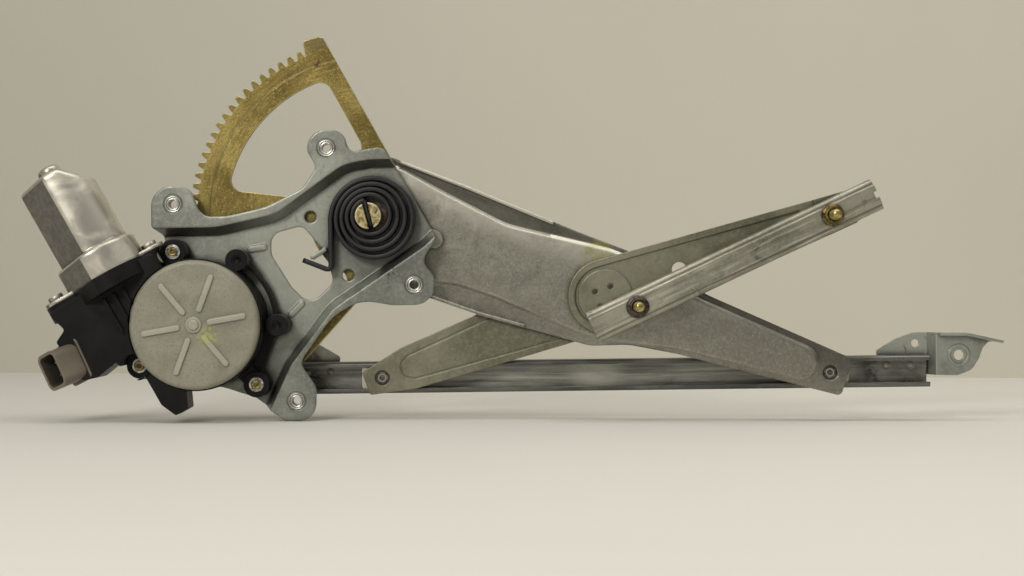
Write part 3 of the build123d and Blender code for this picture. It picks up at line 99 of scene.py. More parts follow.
# ---- Marks that the materials paint, in metres ---------------------------------------------------
EAR_RING_R = 5.3 * MM
SPRING_SHADE = at(8, 0, -10)
SCUFFS = EARS[2] + Vector((-15, 0, 6)) * MM
GEAR_LOBE = at(39.9, 3.5, -12.2)                  # the gear's riveted lobe, seen past the base plate
GEAR_ROOT_R, GEAR_TOOTH_R = 98.5 * MM, 102.5 * MM
COIN_STEP_R = 92.0 * MM
STOP_MARK = at(-29.5, 3.5, 88.5)
NUT_BORE = (2.56 * MM, 2.75 * MM)                 # a pair of radii: the tone changes between them
NUT_COLLAR_R = 3.75 * MM
NUT_TURNING_PITCH = 0.55 * MM
THREAD_PITCH = 1.0 * MM
SCREW_RIM, SCREW_GAP_R = (2.35 * MM, 2.75 * MM), 2.45 * MM
SCREW_RECESS = (1.3 * MM, 1.6 * MM)
STUD_EDGE, STUD_RING_R = (3.1 * MM, 3.7 * MM), 2.1 * MM
PIN_RIM = (6.0 * MM, 7.3 * MM)
CAN_MARK_SIZE = (1.2 * MM, 1.7 * MM)
CAN_MARK = CAN_BASE + CAN_ALONG * 59.5 * MM + CAN_ACROSS * 12.0 * MM + Vector((0, -8, 0)) * MM
CAN_MARKS = (CAN_MARK, CAN_MARK + CAN_ACROSS * 3 * MM)
CHANNEL_WIPED = at(130, 24, -91)
CHANNEL_SOILED = at(298, 24, -93)
WELDS = [SCISSOR + heading(63 + 90 * number) * 6.6 * MM for number in range(4)]
COLLAR_TONES = (at(180, 0, 0).x, at(230, 0, 0).x)  # from the left collar's colour to the right one's
ARM_STAIN = at(130, 6, -23)
COVER_SMEAR = DRIVE + Vector((8, 0, -6)) * MM

# ---- Sizes of the modelled pieces, in millimetres and degrees ------------------------------------
COIL_START_R = 9.2                                # the spring's numbers are those of its solid
COIL_TURNS = 4
COIL_GROWTH = (0.62, 1.25, 1.22, 0.60)            # radius gained passing right, top, left and bottom
SLOT_ANGLE = 104.0
STRIP_T = 2.7
STRIP_EDGE_R = 0.9
STRIP_FRONT, STRIP_BACK = -9.6, -1.2
TAIL_DROP = 28.5
TAIL_BEND_R = 2.2
HOOK_L = 17.0
HOOK_RISE = 22.0
LEG_RADII = (-5.95, -2.0, 2.0, 6.0, 8.3)          # points of the spring's end inside the pin's slot
LEG_OVERLAP = (5, 10, 15, 20)                     # its bend into the first coil, past the slot
LEG_THINNER, LEG_NARROWER = 0.05, 0.08            # so that it stays inside the coil's strip
STUD_R = 3.0
STUD_SHANK_R = 2.5
STUD_HEAD_R, STUD_HEAD_T = 4.2, 1.2
STUD_HEAD_PIT_R = 0.5
STUD_DOME = 1.6
STUD_DIMPLE_R = 0.2
THREAD_DEPTH = 0.42
COLLAR_FLAT = 4.7
COLLAR_CHAMFER, COLLAR_SLOPE = 0.9, 1.1           # how far back the chamfer goes, and how steeply
COLLAR_CORNER = 1.13                              # corner radius, as a ratio of the flat's distance
FLANGE = ((2.6, 0), (6.2, 0), (6.5, 0.4), (6.3, 1.0), (5.2, 1.5))  # radius, rise from the web
COLLAR_MOUTH = ((3.15, 0), (3.05, 0.8))           # radius, depth behind the collar's front
BOSSES = ((-73.8, -24.4), (-51.4, -61.4))
BOSS_PLUG = ((2.55, -12), (2.55, -18.4), (2.3, -18.8), (1.9, -18.7), (1.6, -17.9), (0.6, -17.7))
EAR_NUT_SIZE, EAR_NUT_CORNER = (7.4, 2.6), 0.7
EAR_NUT_PLACE = (-31.5, -5.2)                     # across and along the can from its base
EAR_NUT_DEPTHS = ((0, -4), (0, -7.8), (0.3, -8.3))
SOCKET_FLANGE_SIZE, SOCKET_FLANGE_CORNER = (19.8, 24.5), 2.5
SOCKET_FLANGE_DEPTHS = ((0.3, -7.6), (0, -8.0), (0, -9.2), (0.3, -9.6))
LATHE_STEPS, COLLAR_STEPS = 48, 72
THREAD_ROWS, DOME_ROWS, HEXAGON_ROWS = 72, 6, 4
ARC_STEPS, TAIL_STEPS, BEND_STEPS, HOOK_STEPS = 14, 6, 10, 4

# ---- Stage, lamps and camera, in metres ----------------------------------------------------------
CAMERA_FROM_PIVOT = Vector((81.2, -1044.5, -42.0)) * MM
CAMERA_ROLL = 0.7                                 # degrees
CAMERA_LENS = 64.1
WALL_BEHIND = 0.55
WALL_HEIGHT = 1.8
TABLE_LEFT, TABLE_RIGHT, TABLE_FRONT = -2.2, 2.4, -2.2
TABLE_FALL = math.tan(math.radians(1.0))          # the table drops this much to the right
TABLE_COLOUR = (0.80, 0.79, 0.755)
WALL_COLOUR = (0.665, 0.645, 0.56)
LIT_PLACE = PIVOT + Vector((0.05, 0, -0.03))
LAMPS = (                                         # name, offset from the lit place, size, watts
    ("key", (-0.62, -1.45, 0.72), (0.35, 0.35), 11.0),
    ("top", (0.1, -0.35, 1.3), (1.8, 0.6), 8.0),
)
LAMP_COLOUR = (1.0, 0.96, 0.88)
ROOM_LOW = (0.47, (0.115, 0.108, 0.092, 1))       # the room's colour by height, from nadir 0 to zenith 1
ROOM_HIGH = (0.80, (0.85, 0.82, 0.74, 1))
ROOM_STRENGTH = 0.55


# ---- Node helpers --------------------------------------------------------------------------------
class Shader:
    """One procedural material: a Principled shader and the nodes that feed it."""

    def __init__(self, name, metallic, roughness, colour):
        self.material = bpy.data.materials.new(name)
        self.material.use_nodes = True
        self.tree = self.material.node_tree
        self.surface = self.tree.nodes["Principled BSDF"]
        self.surface.inputs["Metallic"].default_value = metallic
        self.surface.inputs["Roughness"].default_value = roughness
        self.surface.inputs["Base Color"].default_value = (*colour, 1)
        self.place = self.tree.nodes.new("ShaderNodeTexCoord").outputs["Object"]

    def node(self, kind, **settings):
        node = self.tree.nodes.new(kind)
        for key, value in settings.items():
            setattr(node, key, value)
        return node

    def feed(self, socket, item):
        """Links a socket, or sets a constant number or vector."""
        if isinstance(item, (int, float)):
            socket.default_value = item
        elif isinstance(item, (tuple, list, Vector)):
            socket.default_value = (*item, 1) if len(socket.default_value) == 4 else item
        else:
            self.tree.links.new(item, socket)

    def math(self, operation, first, second=0.0):
        node = self.node("ShaderNodeMath", operation=operation)
        self.feed(node.inputs[0], first)
        self.feed(node.inputs[1], second)
        return node.outputs[0]

    def plus(self, first, second):
        return self.math("ADD", first, second)

    def minus(self, first, second):
        return self.math("SUBTRACT", first, second)

    def times(self, first, second):
        return self.math("MULTIPLY", first, second)

    def apart(self, value, middle):
        return self.math("ABSOLUTE", self.minus(value, middle))

    def vector(self, operation, first, second=(0.0, 0.0, 0.0)):
        node = self.node("ShaderNodeVectorMath", operation=operation)
        self.feed(node.inputs[0], first)
        self.feed(node.inputs[1], second)
        number = operation in ("DISTANCE", "DOT_PRODUCT", "LENGTH")
        return node.outputs["Value" if number else "Vector"]

    def axis(self, vector, index):
        node = self.node("ShaderNodeSeparateXYZ")
        self.feed(node.inputs[0], vector)
        return node.outputs[index]

    def combine(self, first, second):
        node = self.node("ShaderNodeCombineXYZ")
        self.feed(node.inputs[0], first)
        self.feed(node.inputs[1], second)
        return node.outputs[0]

    def noise(self, size, detail=4.0, rough=0.6, distortion=0.0, stretch=(1, 1, 1), place=None):
        """Noise whose blotches are about size metres across."""
        noise = self.node("ShaderNodeTexNoise")
        settings = (("Scale", 1.0), ("Detail", detail), ("Roughness", rough), ("Distortion", distortion))
        for name, value in settings:
            noise.inputs[name].default_value = value
        scaled = self.vector("MULTIPLY", place or self.place, [s / size for s in stretch])
        self.feed(noise.inputs["Vector"], scaled)
        return noise.outputs["Fac"]

    def specks(self, size, radius):
        """Small separate spots: 1 inside a spot, 0 outside."""
        cells = self.node("ShaderNodeTexVoronoi")
        self.feed(cells.inputs["Vector"], self.vector("MULTIPLY", self.place, [1 / size] * 3))
        return self.span(cells.outputs["Distance"], radius, radius * 1.6, 1.0, 0.0)

    def ramp(self, value, *stops):
        """Colours by value: stops are (position, (r, g, b))."""
        ramp = self.node("ShaderNodeValToRGB")
        elements = ramp.color_ramp.elements
        while len(elements) < len(stops):
            elements.new(0.5)
        for element, (position, colour) in zip(elements, stops):
            element.position = position
            element.color = (*colour, 1)
        self.feed(ramp.inputs["Fac"], value)
        return ramp.outputs["Color"]

    def span(self, value, low, high, to_low=0.0, to_high=1.0):
        """Smooth change from to_low to to_high as the value goes from low to high."""
        fall = self.node("ShaderNodeMapRange", interpolation_type="SMOOTHSTEP")
        for name, number in (("From Min", low), ("From Max", high), ("To Min", to_low), ("To Max", to_high)):
            fall.inputs[name].default_value = number
        self.feed(fall.inputs["Value"], value)
        return fall.outputs["Result"]

    def mix(self, factor, first, second):
        mix = self.node("ShaderNodeMix", data_type="RGBA")
        for index, item in ((0, factor), (6, first), (7, second)):
            self.feed(mix.inputs[index], item)
        return mix.outputs[2]

    def near(self, centre, inner, outer):
        """1 within inner metres of a place, falling to 0 at outer."""
        return self.span(self.vector("DISTANCE", self.place, centre), inner, outer, 1.0, 0.0)

    def around(self, centre):
        """Distance from an axis that runs through a place towards the cabin side."""
        flat = self.vector("MULTIPLY", self.vector("SUBTRACT", self.place, centre), (1, 0, 1))
        return self.vector("LENGTH", flat)

    def nearest(self, centres):
        """Distance from the nearest of several such axes."""
        nearest = self.around(centres[0])
        for centre in centres[1:]:
            nearest = self.math("MINIMUM", nearest, self.around(centre))
        return nearest

    def bearing(self, centre):
        offset = self.vector("SUBTRACT", self.place, centre)
        return self.math("ARCTAN2", self.axis(offset, 2), self.axis(offset, 0))

    def edges(self, radius):
        """1 along the solid's edges, 0 on its faces."""
        rounded = self.node("ShaderNodeBevel", samples=4)
        rounded.inputs["Radius"].default_value = radius
        flat = self.node("ShaderNodeNewGeometry").outputs["Normal"]
        return self.span(self.vector("DOT_PRODUCT", rounded.outputs["Normal"], flat), 0.80, 0.995, 1.0, 0.0)

    def crevices(self, base, depth, amount):
        """Painted shade: darkens a colour where another face stands close in front of it."""
        shade = self.node("ShaderNodeAmbientOcclusion", samples=6)
        shade.inputs["Distance"].default_value = depth
        painted_shade = self.span(shade.outputs["AO"], 0.35, 0.95, amount, 0.0)
        return self.mix(painted_shade, base, (0.035, 0.032, 0.026))

    def colour(self, socket):
        self.base = socket
        self.feed(self.surface.inputs["Base Color"], socket)

    def roughness(self, value, low, high):
        self.feed(self.surface.inputs["Roughness"], self.span(value, 0.3, 0.7, low, high))

    def relief(self, height, depth, edge=0.0004):
        """Bump of a height map over a softened edge normal."""
        bevel = self.node("ShaderNodeBevel", samples=6)
        bevel.inputs["Radius"].default_value = edge
        bump = self.node("ShaderNodeBump")
        bump.inputs["Distance"].default_value = depth
        bump.inputs["Strength"].default_value = 1.0
        self.feed(bump.inputs["Height"], height)
        self.feed(bump.inputs["Normal"], bevel.outputs["Normal"])
        self.feed(self.surface.inputs["Normal"], bump.outputs["Normal"])


def dimmed(colour, factor):
    return tuple(c * factor for c in colour)


# ---- Metals --------------------------------------------------------------------------------------
def zinc_sheet(name, light, dark, metallic=0.82, rough=(0.34, 0.50), crease=0.0005, smudged=0.45):
    """Galvanised steel: broad patches, fine spangle, handling smudges, painted shade in crevices and painted
    highlights along the edges.
    """
    s = Shader(name, metallic, 0.42, light)
    patches = s.noise(0.050, 5, 0.55, 0.5)
    base = s.mix(s.span(patches, 0.36, 0.66), dark, light)
    spangle = s.noise(0.0022, 3, 0.75)
    base = s.mix(s.span(spangle, 0.40, 0.72, 0.0, 0.35), base, dimmed(light, 1.3))
    smudge = s.noise(0.014, 7, 0.76, 0.8)
    base = s.mix(s.span(smudge, 0.56, 0.70, 0.0, smudged), base, dimmed(dark, 0.5))
    base = s.mix(s.times(s.specks(0.010, 0.045), 0.8), base, dimmed(dark, 0.2))
    # painted shade in the crevices
    base = s.crevices(base, 0.004, 0.85)
    # painted highlight along the edges
    base = s.mix(s.times(s.edges(0.0005), 0.5), base, dimmed(light, 1.7))
    s.colour(base)
    s.roughness(smudge, *rough)
    s.height = s.plus(s.times(spangle, 0.5), s.times(s.noise(0.0008, 2, 0.5), 0.3))
    s.relief(s.height, 0.00004, crease)
    return s


def plate_zinc():
    """The base plate's sheet, with the stamped rings round its ears and the spring's painted shadow on it."""
    s = zinc_sheet("zinc_plate", (0.33, 0.345, 0.31), (0.19, 0.20, 0.18), rough=(0.32, 0.46), crease=0.0016)
    # painted shadow of the spring, darkening the plate round it
    painted_shade = s.times(s.near(SPRING_SHADE, 0.020, 0.036), 0.5)
    base = s.mix(painted_shade, s.base, (0.10, 0.10, 0.09))
    groove = 0.0
    for ear in EARS:
        ring = s.span(s.apart(s.around(ear), EAR_RING_R), 0.1 * MM, 0.5 * MM, 1.0, 0.0)
        groove = s.plus(groove, ring)
    base = s.mix(s.times(groove, 0.6), base, (0.12, 0.13, 0.12))
    scuffs = s.times(s.near(SCUFFS, 0.003, 0.010), s.span(s.noise(0.0016, 4, 0.7), 0.54, 0.60))
    base = s.mix(s.times(scuffs, 0.7), base, (0.03, 0.03, 0.028))
    s.colour(base)
    s.relief(s.minus(s.height, s.times(groove, 4.0)), 0.00004, 0.0016)
    return s


def yellow_chromate():
    """Gold passivation, uneven, with fine marks that follow the gear's circle, painted shade in its crevices
    and along the coined step, and painted highlights along its edges.
    """
    s = Shader("yellow_chromate", 0.78, 0.40, (0.46, 0.34, 0.12))
    clouds = s.noise(0.034, 4, 0.55, 0.2)
    base = s.ramp(clouds, (0.30, (0.155, 0.112, 0.028)), (0.46, (0.205, 0.155, 0.042)),
                  (0.58, (0.285, 0.225, 0.070)), (0.72, (0.215, 0.185, 0.058)))
    grain = s.noise(0.0011, 3, 0.7)
    base = s.mix(s.span(grain, 0.50, 0.68, 0.0, 0.55), base, (0.08, 0.055, 0.018))
    base = s.mix(s.span(grain, 0.32, 0.46, 0.5, 0.0), base, (0.50, 0.42, 0.17))
    radius = s.around(PIVOT)
    drawn = s.noise(0.0016, 4, 0.7, place=s.combine(radius, s.times(s.bearing(PIVOT), 0.012)))
    base = s.mix(s.span(drawn, 0.48, 0.70, 0.0, 0.5), base, (0.10, 0.070, 0.025))
    base = s.mix(s.span(drawn, 0.30, 0.44, 0.3, 0.0), base, (0.50, 0.42, 0.19))
    teeth = s.span(radius, GEAR_ROOT_R, GEAR_TOOTH_R)
    base = s.mix(s.times(teeth, 0.5), base, (0.12, 0.095, 0.05))
    base = s.mix(s.specks(0.011, 0.05), base, (0.03, 0.025, 0.02))
    # painted shade in the crevices
    base = s.crevices(base, 0.004, 0.85)
    step = s.apart(radius, COIN_STEP_R)
    # painted shade along the coined step
    shade = s.times(s.span(step, 0.4 * MM, 2.2 * MM, 0.5, 0.0), s.span(s.noise(0.02, 2), 0.42, 0.55))
    base = s.mix(shade, base, (0.10, 0.075, 0.03))
    # painted highlights along the edges, fainter near the coined step
    edge_highlights = s.times(s.edges(0.0011), s.span(step, 1.0 * MM, 2.0 * MM, 0.12, 0.75))
    base = s.mix(edge_highlights, base, (0.86, 0.78, 0.46))
    base = s.mix(s.near(GEAR_LOBE, 0.007, 0.010), base, (0.33, 0.32, 0.27))
    slot = s.times(s.near(STOP_MARK, 0.0010, 0.0032), s.span(s.noise(0.003, 3), 0.38, 0.52))
    base = s.mix(slot, base, (0.06, 0.04, 0.02))
    s.colour(base)
    s.roughness(clouds, 0.30, 0.48)
    s.relief(s.plus(drawn, s.noise(0.0009, 2, 0.5)), 0.00005, 0.0010)
    return s


def plain_metal(name, colour, roughness, variation=0.25, size=0.012, metallic=0.88, edge=0.0003):
    """A machined or plated piece with slight clouding, fine grain and painted highlights along its edges."""
    s = Shader(name, metallic, roughness, colour)
    clouds = s.noise(size, 5, 0.6, 0.5)
    base = s.mix(s.span(clouds, 0.35, 0.7), dimmed(colour, 1 - variation), colour)
    # painted highlight along the edges
    base = s.mix(s.times(s.edges(edge + 0.0002), 0.45), base, dimmed(colour, 1.35))
    s.colour(base)
    s.roughness(clouds, roughness - 0.06, roughness + 0.10)
    s.relief(s.noise(0.0007, 2, 0.5), 0.00002, edge)
    return s


def nut_metal():
    """Bright collar nuts; a helix winds down the bore, and the collar shows turning marks."""
    s = Shader("nut_metal", 0.92, 0.30, (0.62, 0.62, 0.58))
    nearest = s.around(EARS[0])
    turn = s.bearing(EARS[0])
    for ear in EARS[1:]:
        closer = s.math("LESS_THAN", s.around(ear), nearest)
        change = s.times(closer, s.minus(s.bearing(ear), turn))
        turn = s.plus(turn, change)
        nearest = s.math("MINIMUM", nearest, s.around(ear))
    along = s.times(s.axis(s.place, 1), 2 * math.pi / THREAD_PITCH)
    helix = s.math("SINE", s.plus(along, turn))
    inside = s.span(nearest, *NUT_BORE, 1.0, 0.0)
    turning = s.math("SINE", s.times(nearest, 2 * math.pi / NUT_TURNING_PITCH))
    height = s.plus(s.times(helix, inside), s.times(turning, 0.12))
    ring = s.span(s.apart(nearest, NUT_COLLAR_R), 0.1 * MM, 0.35 * MM, 1.0, 0.0)
    base = s.mix(s.span(s.noise(0.004, 4, 0.6), 0.4, 0.7), (0.44, 0.44, 0.41), (0.66, 0.66, 0.62))
    base = s.mix(s.times(ring, 0.75), base, (0.10, 0.10, 0.09))
    # painted shade: the bore is painted darker
    base = s.mix(s.times(inside, 0.45), base, (0.16, 0.15, 0.13))
    s.colour(base)
    s.relief(s.minus(height, s.times(ring, 0.8)), 0.00022, 0.0003)
    return s


def screw_metal():
    """Housing screws: a silver rim round a yellow, brown-stained head with its recess."""
    s = Shader("screw_metal", 0.85, 0.32, (0.60, 0.60, 0.55))
    nearest = s.nearest(SCREWS)
    stain = s.noise(0.0022, 5, 0.7)
    yellow = s.mix(s.span(stain, 0.40, 0.62), (0.16, 0.12, 0.045), (0.62, 0.52, 0.20))
    silver = s.mix(s.span(stain, 0.38, 0.60), (0.22, 0.21, 0.18), (0.74, 0.74, 0.70))
    base = s.mix(s.span(nearest, *SCREW_RIM), yellow, silver)
    gap = s.span(s.apart(nearest, SCREW_GAP_R), 0.05 * MM, 0.35 * MM, 1.0, 0.0)
    base = s.mix(s.times(gap, 0.8), base, (0.05, 0.045, 0.03))
    # painted shade in the recess
    base = s.mix(s.span(nearest, *SCREW_RECESS, 0.7, 0.0), base, (0.07, 0.06, 0.035))
    s.colour(base)
    s.relief(s.minus(stain, s.times(gap, 2.0)), 0.00012, 0.0004)
    return s


def stud_face():
    """The arms' pressed studs: a dark dished face with a lighter ring round its middle."""
    s = Shader("stud_face", 0.7, 0.40, (0.13, 0.12, 0.11))
    nearest = s.nearest(STUDS)
    stain = s.noise(0.002, 5, 0.7)
    base = s.mix(s.span(stain, 0.4, 0.65), (0.05, 0.046, 0.040), (0.20, 0.19, 0.17))
    ring = s.span(s.apart(nearest, STUD_RING_R), 0.2 * MM, 0.6 * MM, 1.0, 0.0)
    base = s.mix(s.times(ring, 0.8), base, (0.42, 0.41, 0.37))
    edge = s.span(nearest, *STUD_EDGE)
    base = s.mix(s.times(edge, 0.8), base, (0.02, 0.018, 0.015))
    s.colour(base)
    s.relief(s.plus(stain, s.times(ring, 2.0)), 0.0002, 0.0004)
    return s


def pin_metal():
    """Gold pin head with brown stain and pitting."""
    s = Shader("pin_metal", 0.8, 0.38, (0.60, 0.50, 0.26))
    stain = s.noise(0.0032, 5, 0.7, 0.6)
    base = s.ramp(stain, (0.38, (0.10, 0.085, 0.05)), (0.50, (0.46, 0.38, 0.19)), (0.66, (0.66, 0.58, 0.34)))
    rim = s.span(s.around(PIVOT), *PIN_RIM)
    base = s.mix(s.times(rim, 0.5), base, (0.74, 0.68, 0.44))
    s.colour(base)
    s.relief(stain, 0.00012, 0.0011)
    return s


def can_steel():
    """Drawn motor can: satin plating, painted shade on its flats, a draw line, a punched slot mark painted
    dark as shade, painted shade in crevices and painted highlights along its edges.
    """
    s = Shader("motor_steel", 0.88, 0.36, (0.58, 0.56, 0.50))
    clouds = s.noise(0.020, 5, 0.6, 0.7)
    base = s.mix(s.span(clouds, 0.36, 0.68), (0.52, 0.50, 0.44), (0.78, 0.75, 0.67))
    normal = s.node("ShaderNodeTexCoord").outputs["Normal"]
    # painted shade: the flats, picked out by which way they face, are painted dark and mottled
    flat = s.span(s.vector("DOT_PRODUCT", normal, CAN_FLAT_FACES), 0.96, 0.995)
    mottled = s.mix(s.span(s.noise(0.004, 5, 0.7), 0.40, 0.62), (0.105, 0.102, 0.094), (0.165, 0.160, 0.145))
    base = s.mix(s.times(flat, 0.9), base, mottled)
    runs = s.noise(0.010, 5, 0.65, 0.3, (0.25, 1, 0.25))
    base = s.mix(s.span(runs, 0.54, 0.74, 0.0, 0.45), base, (0.27, 0.25, 0.21))
    # the punched slots are painted dark: painted shade in their recess
    mark = s.math("MAXIMUM", *(s.near(place, *CAN_MARK_SIZE) for place in CAN_MARKS))
    base = s.mix(s.times(mark, 0.8), base, (0.07, 0.065, 0.055))
    # painted shade in the crevices
    base = s.crevices(base, 0.006, 0.8)
    # painted highlight along the edges
    base = s.mix(s.times(s.edges(0.0008), 0.4), base, (0.80, 0.77, 0.70))
    s.colour(base)
    s.roughness(clouds, 0.28, 0.44)
    height = s.plus(s.times(s.noise(0.0012, 3, 0.6), 0.6), s.times(mark, -6.0))
    s.relief(height, 0.00004, 0.0018)
    return s


def greased_channel():
    """The lift channel: dark, greasy and stained inside, wiped bare along its lips."""
    s = Shader("greased_channel", 0.75, 0.36, (0.3, 0.3, 0.28))
    patches = s.span(s.noise(0.03, 5, 0.6, 0.5, (0.4, 1, 1)), 0.36, 0.66)
    bare = s.mix(patches, (0.075, 0.075, 0.068), (0.19, 0.19, 0.175))
    grease = s.noise(0.020, 7, 0.74, 0.3, (0.30, 1, 0.8))
    inner = s.ramp(grease, (0.34, (0.15, 0.148, 0.130)), (0.48, (0.26, 0.262, 0.235)),
                   (0.64, (0.36, 0.362, 0.325)), (0.76, (0.18, 0.178, 0.155)))
    streaks = s.noise(0.0022, 4, 0.65, 0.2, (0.03, 1, 1))
    inner = s.mix(s.span(streaks, 0.50, 0.62, 0.0, 0.6), inner, (0.10, 0.098, 0.085))
    inner = s.mix(s.span(streaks, 0.34, 0.46, 0.5, 0.0), inner, (0.52, 0.52, 0.47))
    wiped = s.times(s.near(CHANNEL_WIPED, 0.004, 0.022), s.span(grease, 0.40, 0.56, 0.15, 0.75))
    inner = s.mix(wiped, inner, (0.52, 0.51, 0.46))
    soiled = s.times(s.near(CHANNEL_SOILED, 0.006, 0.020), s.span(grease, 0.44, 0.58))
    inner = s.mix(soiled, inner, (0.028, 0.025, 0.020))
    depth = s.axis(s.place, 1)
    inside = s.span(depth, depth_at(14.6), depth_at(17.0))
    behind = s.span(depth, depth_at(24.3), depth_at(24.9))
    base = s.mix(s.minus(inside, behind), bare, inner)
    # the edges are painted near-black or pale, in patches
    edge_patches = s.span(s.noise(0.012, 3, 0.6, 0.2, (0.2, 1, 1)), 0.44, 0.56)
    lips = s.mix(edge_patches, (0.05, 0.047, 0.04), (0.50, 0.50, 0.46))
    base = s.mix(s.times(s.edges(0.0008), 0.8), base, lips)
    s.colour(base)
    s.roughness(grease, 0.26, 0.50)
    s.relief(grease, 0.00010, 0.0007)
    return s


def cross_arm_zinc():
    """The cross arm's greener plating, with weld marks in its raised disc."""
    s = zinc_sheet("zinc_arm", (0.29, 0.285, 0.215), (0.165, 0.162, 0.118), rough=(0.34, 0.48), crease=0.0012)
    marks = 0.0
    for weld in WELDS:
        marks = s.plus(marks, s.near(weld, 0.9 * MM, 2.4 * MM))
    base = s.mix(s.math("MINIMUM", s.times(marks, 0.9), 1.0), s.base, (0.05, 0.045, 0.035))
    s.colour(base)
    s.relief(s.minus(s.height, s.times(marks, 5.0)), 0.00004, 0.0009)
    return s


def rail_zinc():
    """The equalizer rail's sheet, scratched and streaked along its length."""
    s = zinc_sheet("zinc_rail", (0.40, 0.39, 0.325), (0.20, 0.195, 0.155), crease=0.0008, smudged=0.85)
    offset = s.vector("SUBTRACT", s.place, SCISSOR)
    along = s.times(s.vector("DOT_PRODUCT", offset, RAIL_ALONG), 0.05)
    across = s.vector("DOT_PRODUCT", offset, RAIL_ACROSS)
    streaks = s.noise(0.0024, 4, 0.7, place=s.combine(along, across))
    base = s.mix(s.span(streaks, 0.50, 0.66, 0.0, 0.5), s.base, (0.13, 0.125, 0.095))
    base = s.mix(s.span(streaks, 0.34, 0.46, 0.55, 0.0), base, (0.66, 0.65, 0.56))
    s.colour(base)
    return s


def collar_metal():
    """Collars of the rail's studs: purple-brown at the left one, brown-gold at the right one, with painted
    highlights along their edges.
    """
    s = Shader("dark_collar", 0.8, 0.42, (0.1, 0.08, 0.06))
    right = s.span(s.axis(s.place, 0), *COLLAR_TONES)
    stain = s.noise(0.003, 5, 0.7)
    dark = s.mix(right, (0.050, 0.038, 0.036), (0.075, 0.052, 0.022))
    light = s.mix(right, (0.13, 0.10, 0.088), (0.26, 0.19, 0.075))
    base = s.mix(s.span(stain, 0.42, 0.60), dark, light)
    # painted highlight along the edges
    base = s.mix(s.times(s.edges(0.0006), 0.6), base, (0.42, 0.34, 0.20))
    s.colour(base)
    s.roughness(stain, 0.32, 0.52)
    s.relief(stain, 0.00006, 0.0005)
    return s


def lift_arm_zinc():
    """The lift arm's sheet: soft press creases, painted shade on its rim, heavier on the upper side, a
    painted highlight in a band under the upper crease, and a yellow stain above the scissor pivot.
    """
    s = zinc_sheet("zinc_lift", (0.37, 0.360, 0.310), (0.26, 0.250, 0.212), rough=(0.26, 0.38), crease=0.0026,
                   smudged=0.3)
    grain = s.noise(0.0011, 3, 0.75)
    base = s.mix(s.span(grain, 0.50, 0.66, 0.0, 0.45), s.base, (0.14, 0.130, 0.105))
    base = s.mix(s.span(grain, 0.34, 0.46, 0.40, 0.0), base, (0.58, 0.57, 0.50))
    # painted shade on the rim, heavier on its upper side
    rim = s.span(s.axis(s.place, 1), depth_at(8.1), depth_at(8.7))
    facing = s.axis(s.node("ShaderNodeTexCoord").outputs["Normal"], 1)
    rim = s.times(rim, s.span(facing, -0.4, 0.1, 1.0, 0.0))
    offset = s.vector("SUBTRACT", s.place, PIVOT)
    along = s.vector("DOT_PRODUCT", offset, ARM_ALONG)
    across = s.vector("DOT_PRODUCT", offset, ARM_ACROSS)
    upper = s.span(across, -8 * MM, 8 * MM, 0.12, 0.66)
    base = s.mix(s.times(rim, upper), base, (0.070, 0.066, 0.056))
    # painted highlight: a bright band just under the upper crease, fading downwards
    crease = s.plus(s.span(along, 8 * MM, 70 * MM, 7.5 * MM, 0.0), 22.5 * MM)
    crease_highlight = s.span(s.minus(crease, across), 0.5 * MM, 15 * MM, 1.0, 0.0)
    crease_highlight = s.times(s.times(crease_highlight, s.minus(1.0, rim)), 0.55)
    base = s.mix(crease_highlight, base, (0.80, 0.78, 0.70))
    stain = s.times(s.near(ARM_STAIN, 0.004, 0.013), s.span(s.noise(0.006, 5, 0.7), 0.35, 0.6))
    base = s.mix(s.times(stain, 0.6), base, (0.42, 0.40, 0.12))
    s.colour(base)
    return s


# ---- Mouldings, coatings and rubber --------------------------------------------------------------
def moulding(name, colour, roughness, size=0.0009, depth=0.00004, dust=0.0, edge=0.0006, shine=0.5,
             shade=0.0):
    """Moulded plastic with a fine spark-eroded texture, dust in patches, painted shade in its crevices when
    shade is given, and painted highlights along its edges.
    """
    s = Shader(name, 0.0, roughness, colour)
    s.surface.inputs["Specular IOR Level"].default_value = shine
    clouds = s.noise(0.02, 5, 0.65, 0.6)
    pale = tuple(min(1.0, c * 1.35 + dust) for c in colour)
    base = s.mix(s.span(clouds, 0.45, 0.72, 0.0, 0.7), colour, pale)
    # painted shade in the crevices, when shade is given
    if shade:
        base = s.crevices(base, shade, 0.95)
    # painted highlight along the edges
    base = s.mix(s.times(s.edges(edge), 0.3), base, tuple(min(1.0, c * 1.8 + 0.02) for c in colour))
    s.colour(base)
    s.roughness(clouds, roughness - 0.10, roughness + 0.10)
    s.relief(s.noise(size, 3, 0.6), depth, edge)
    return s


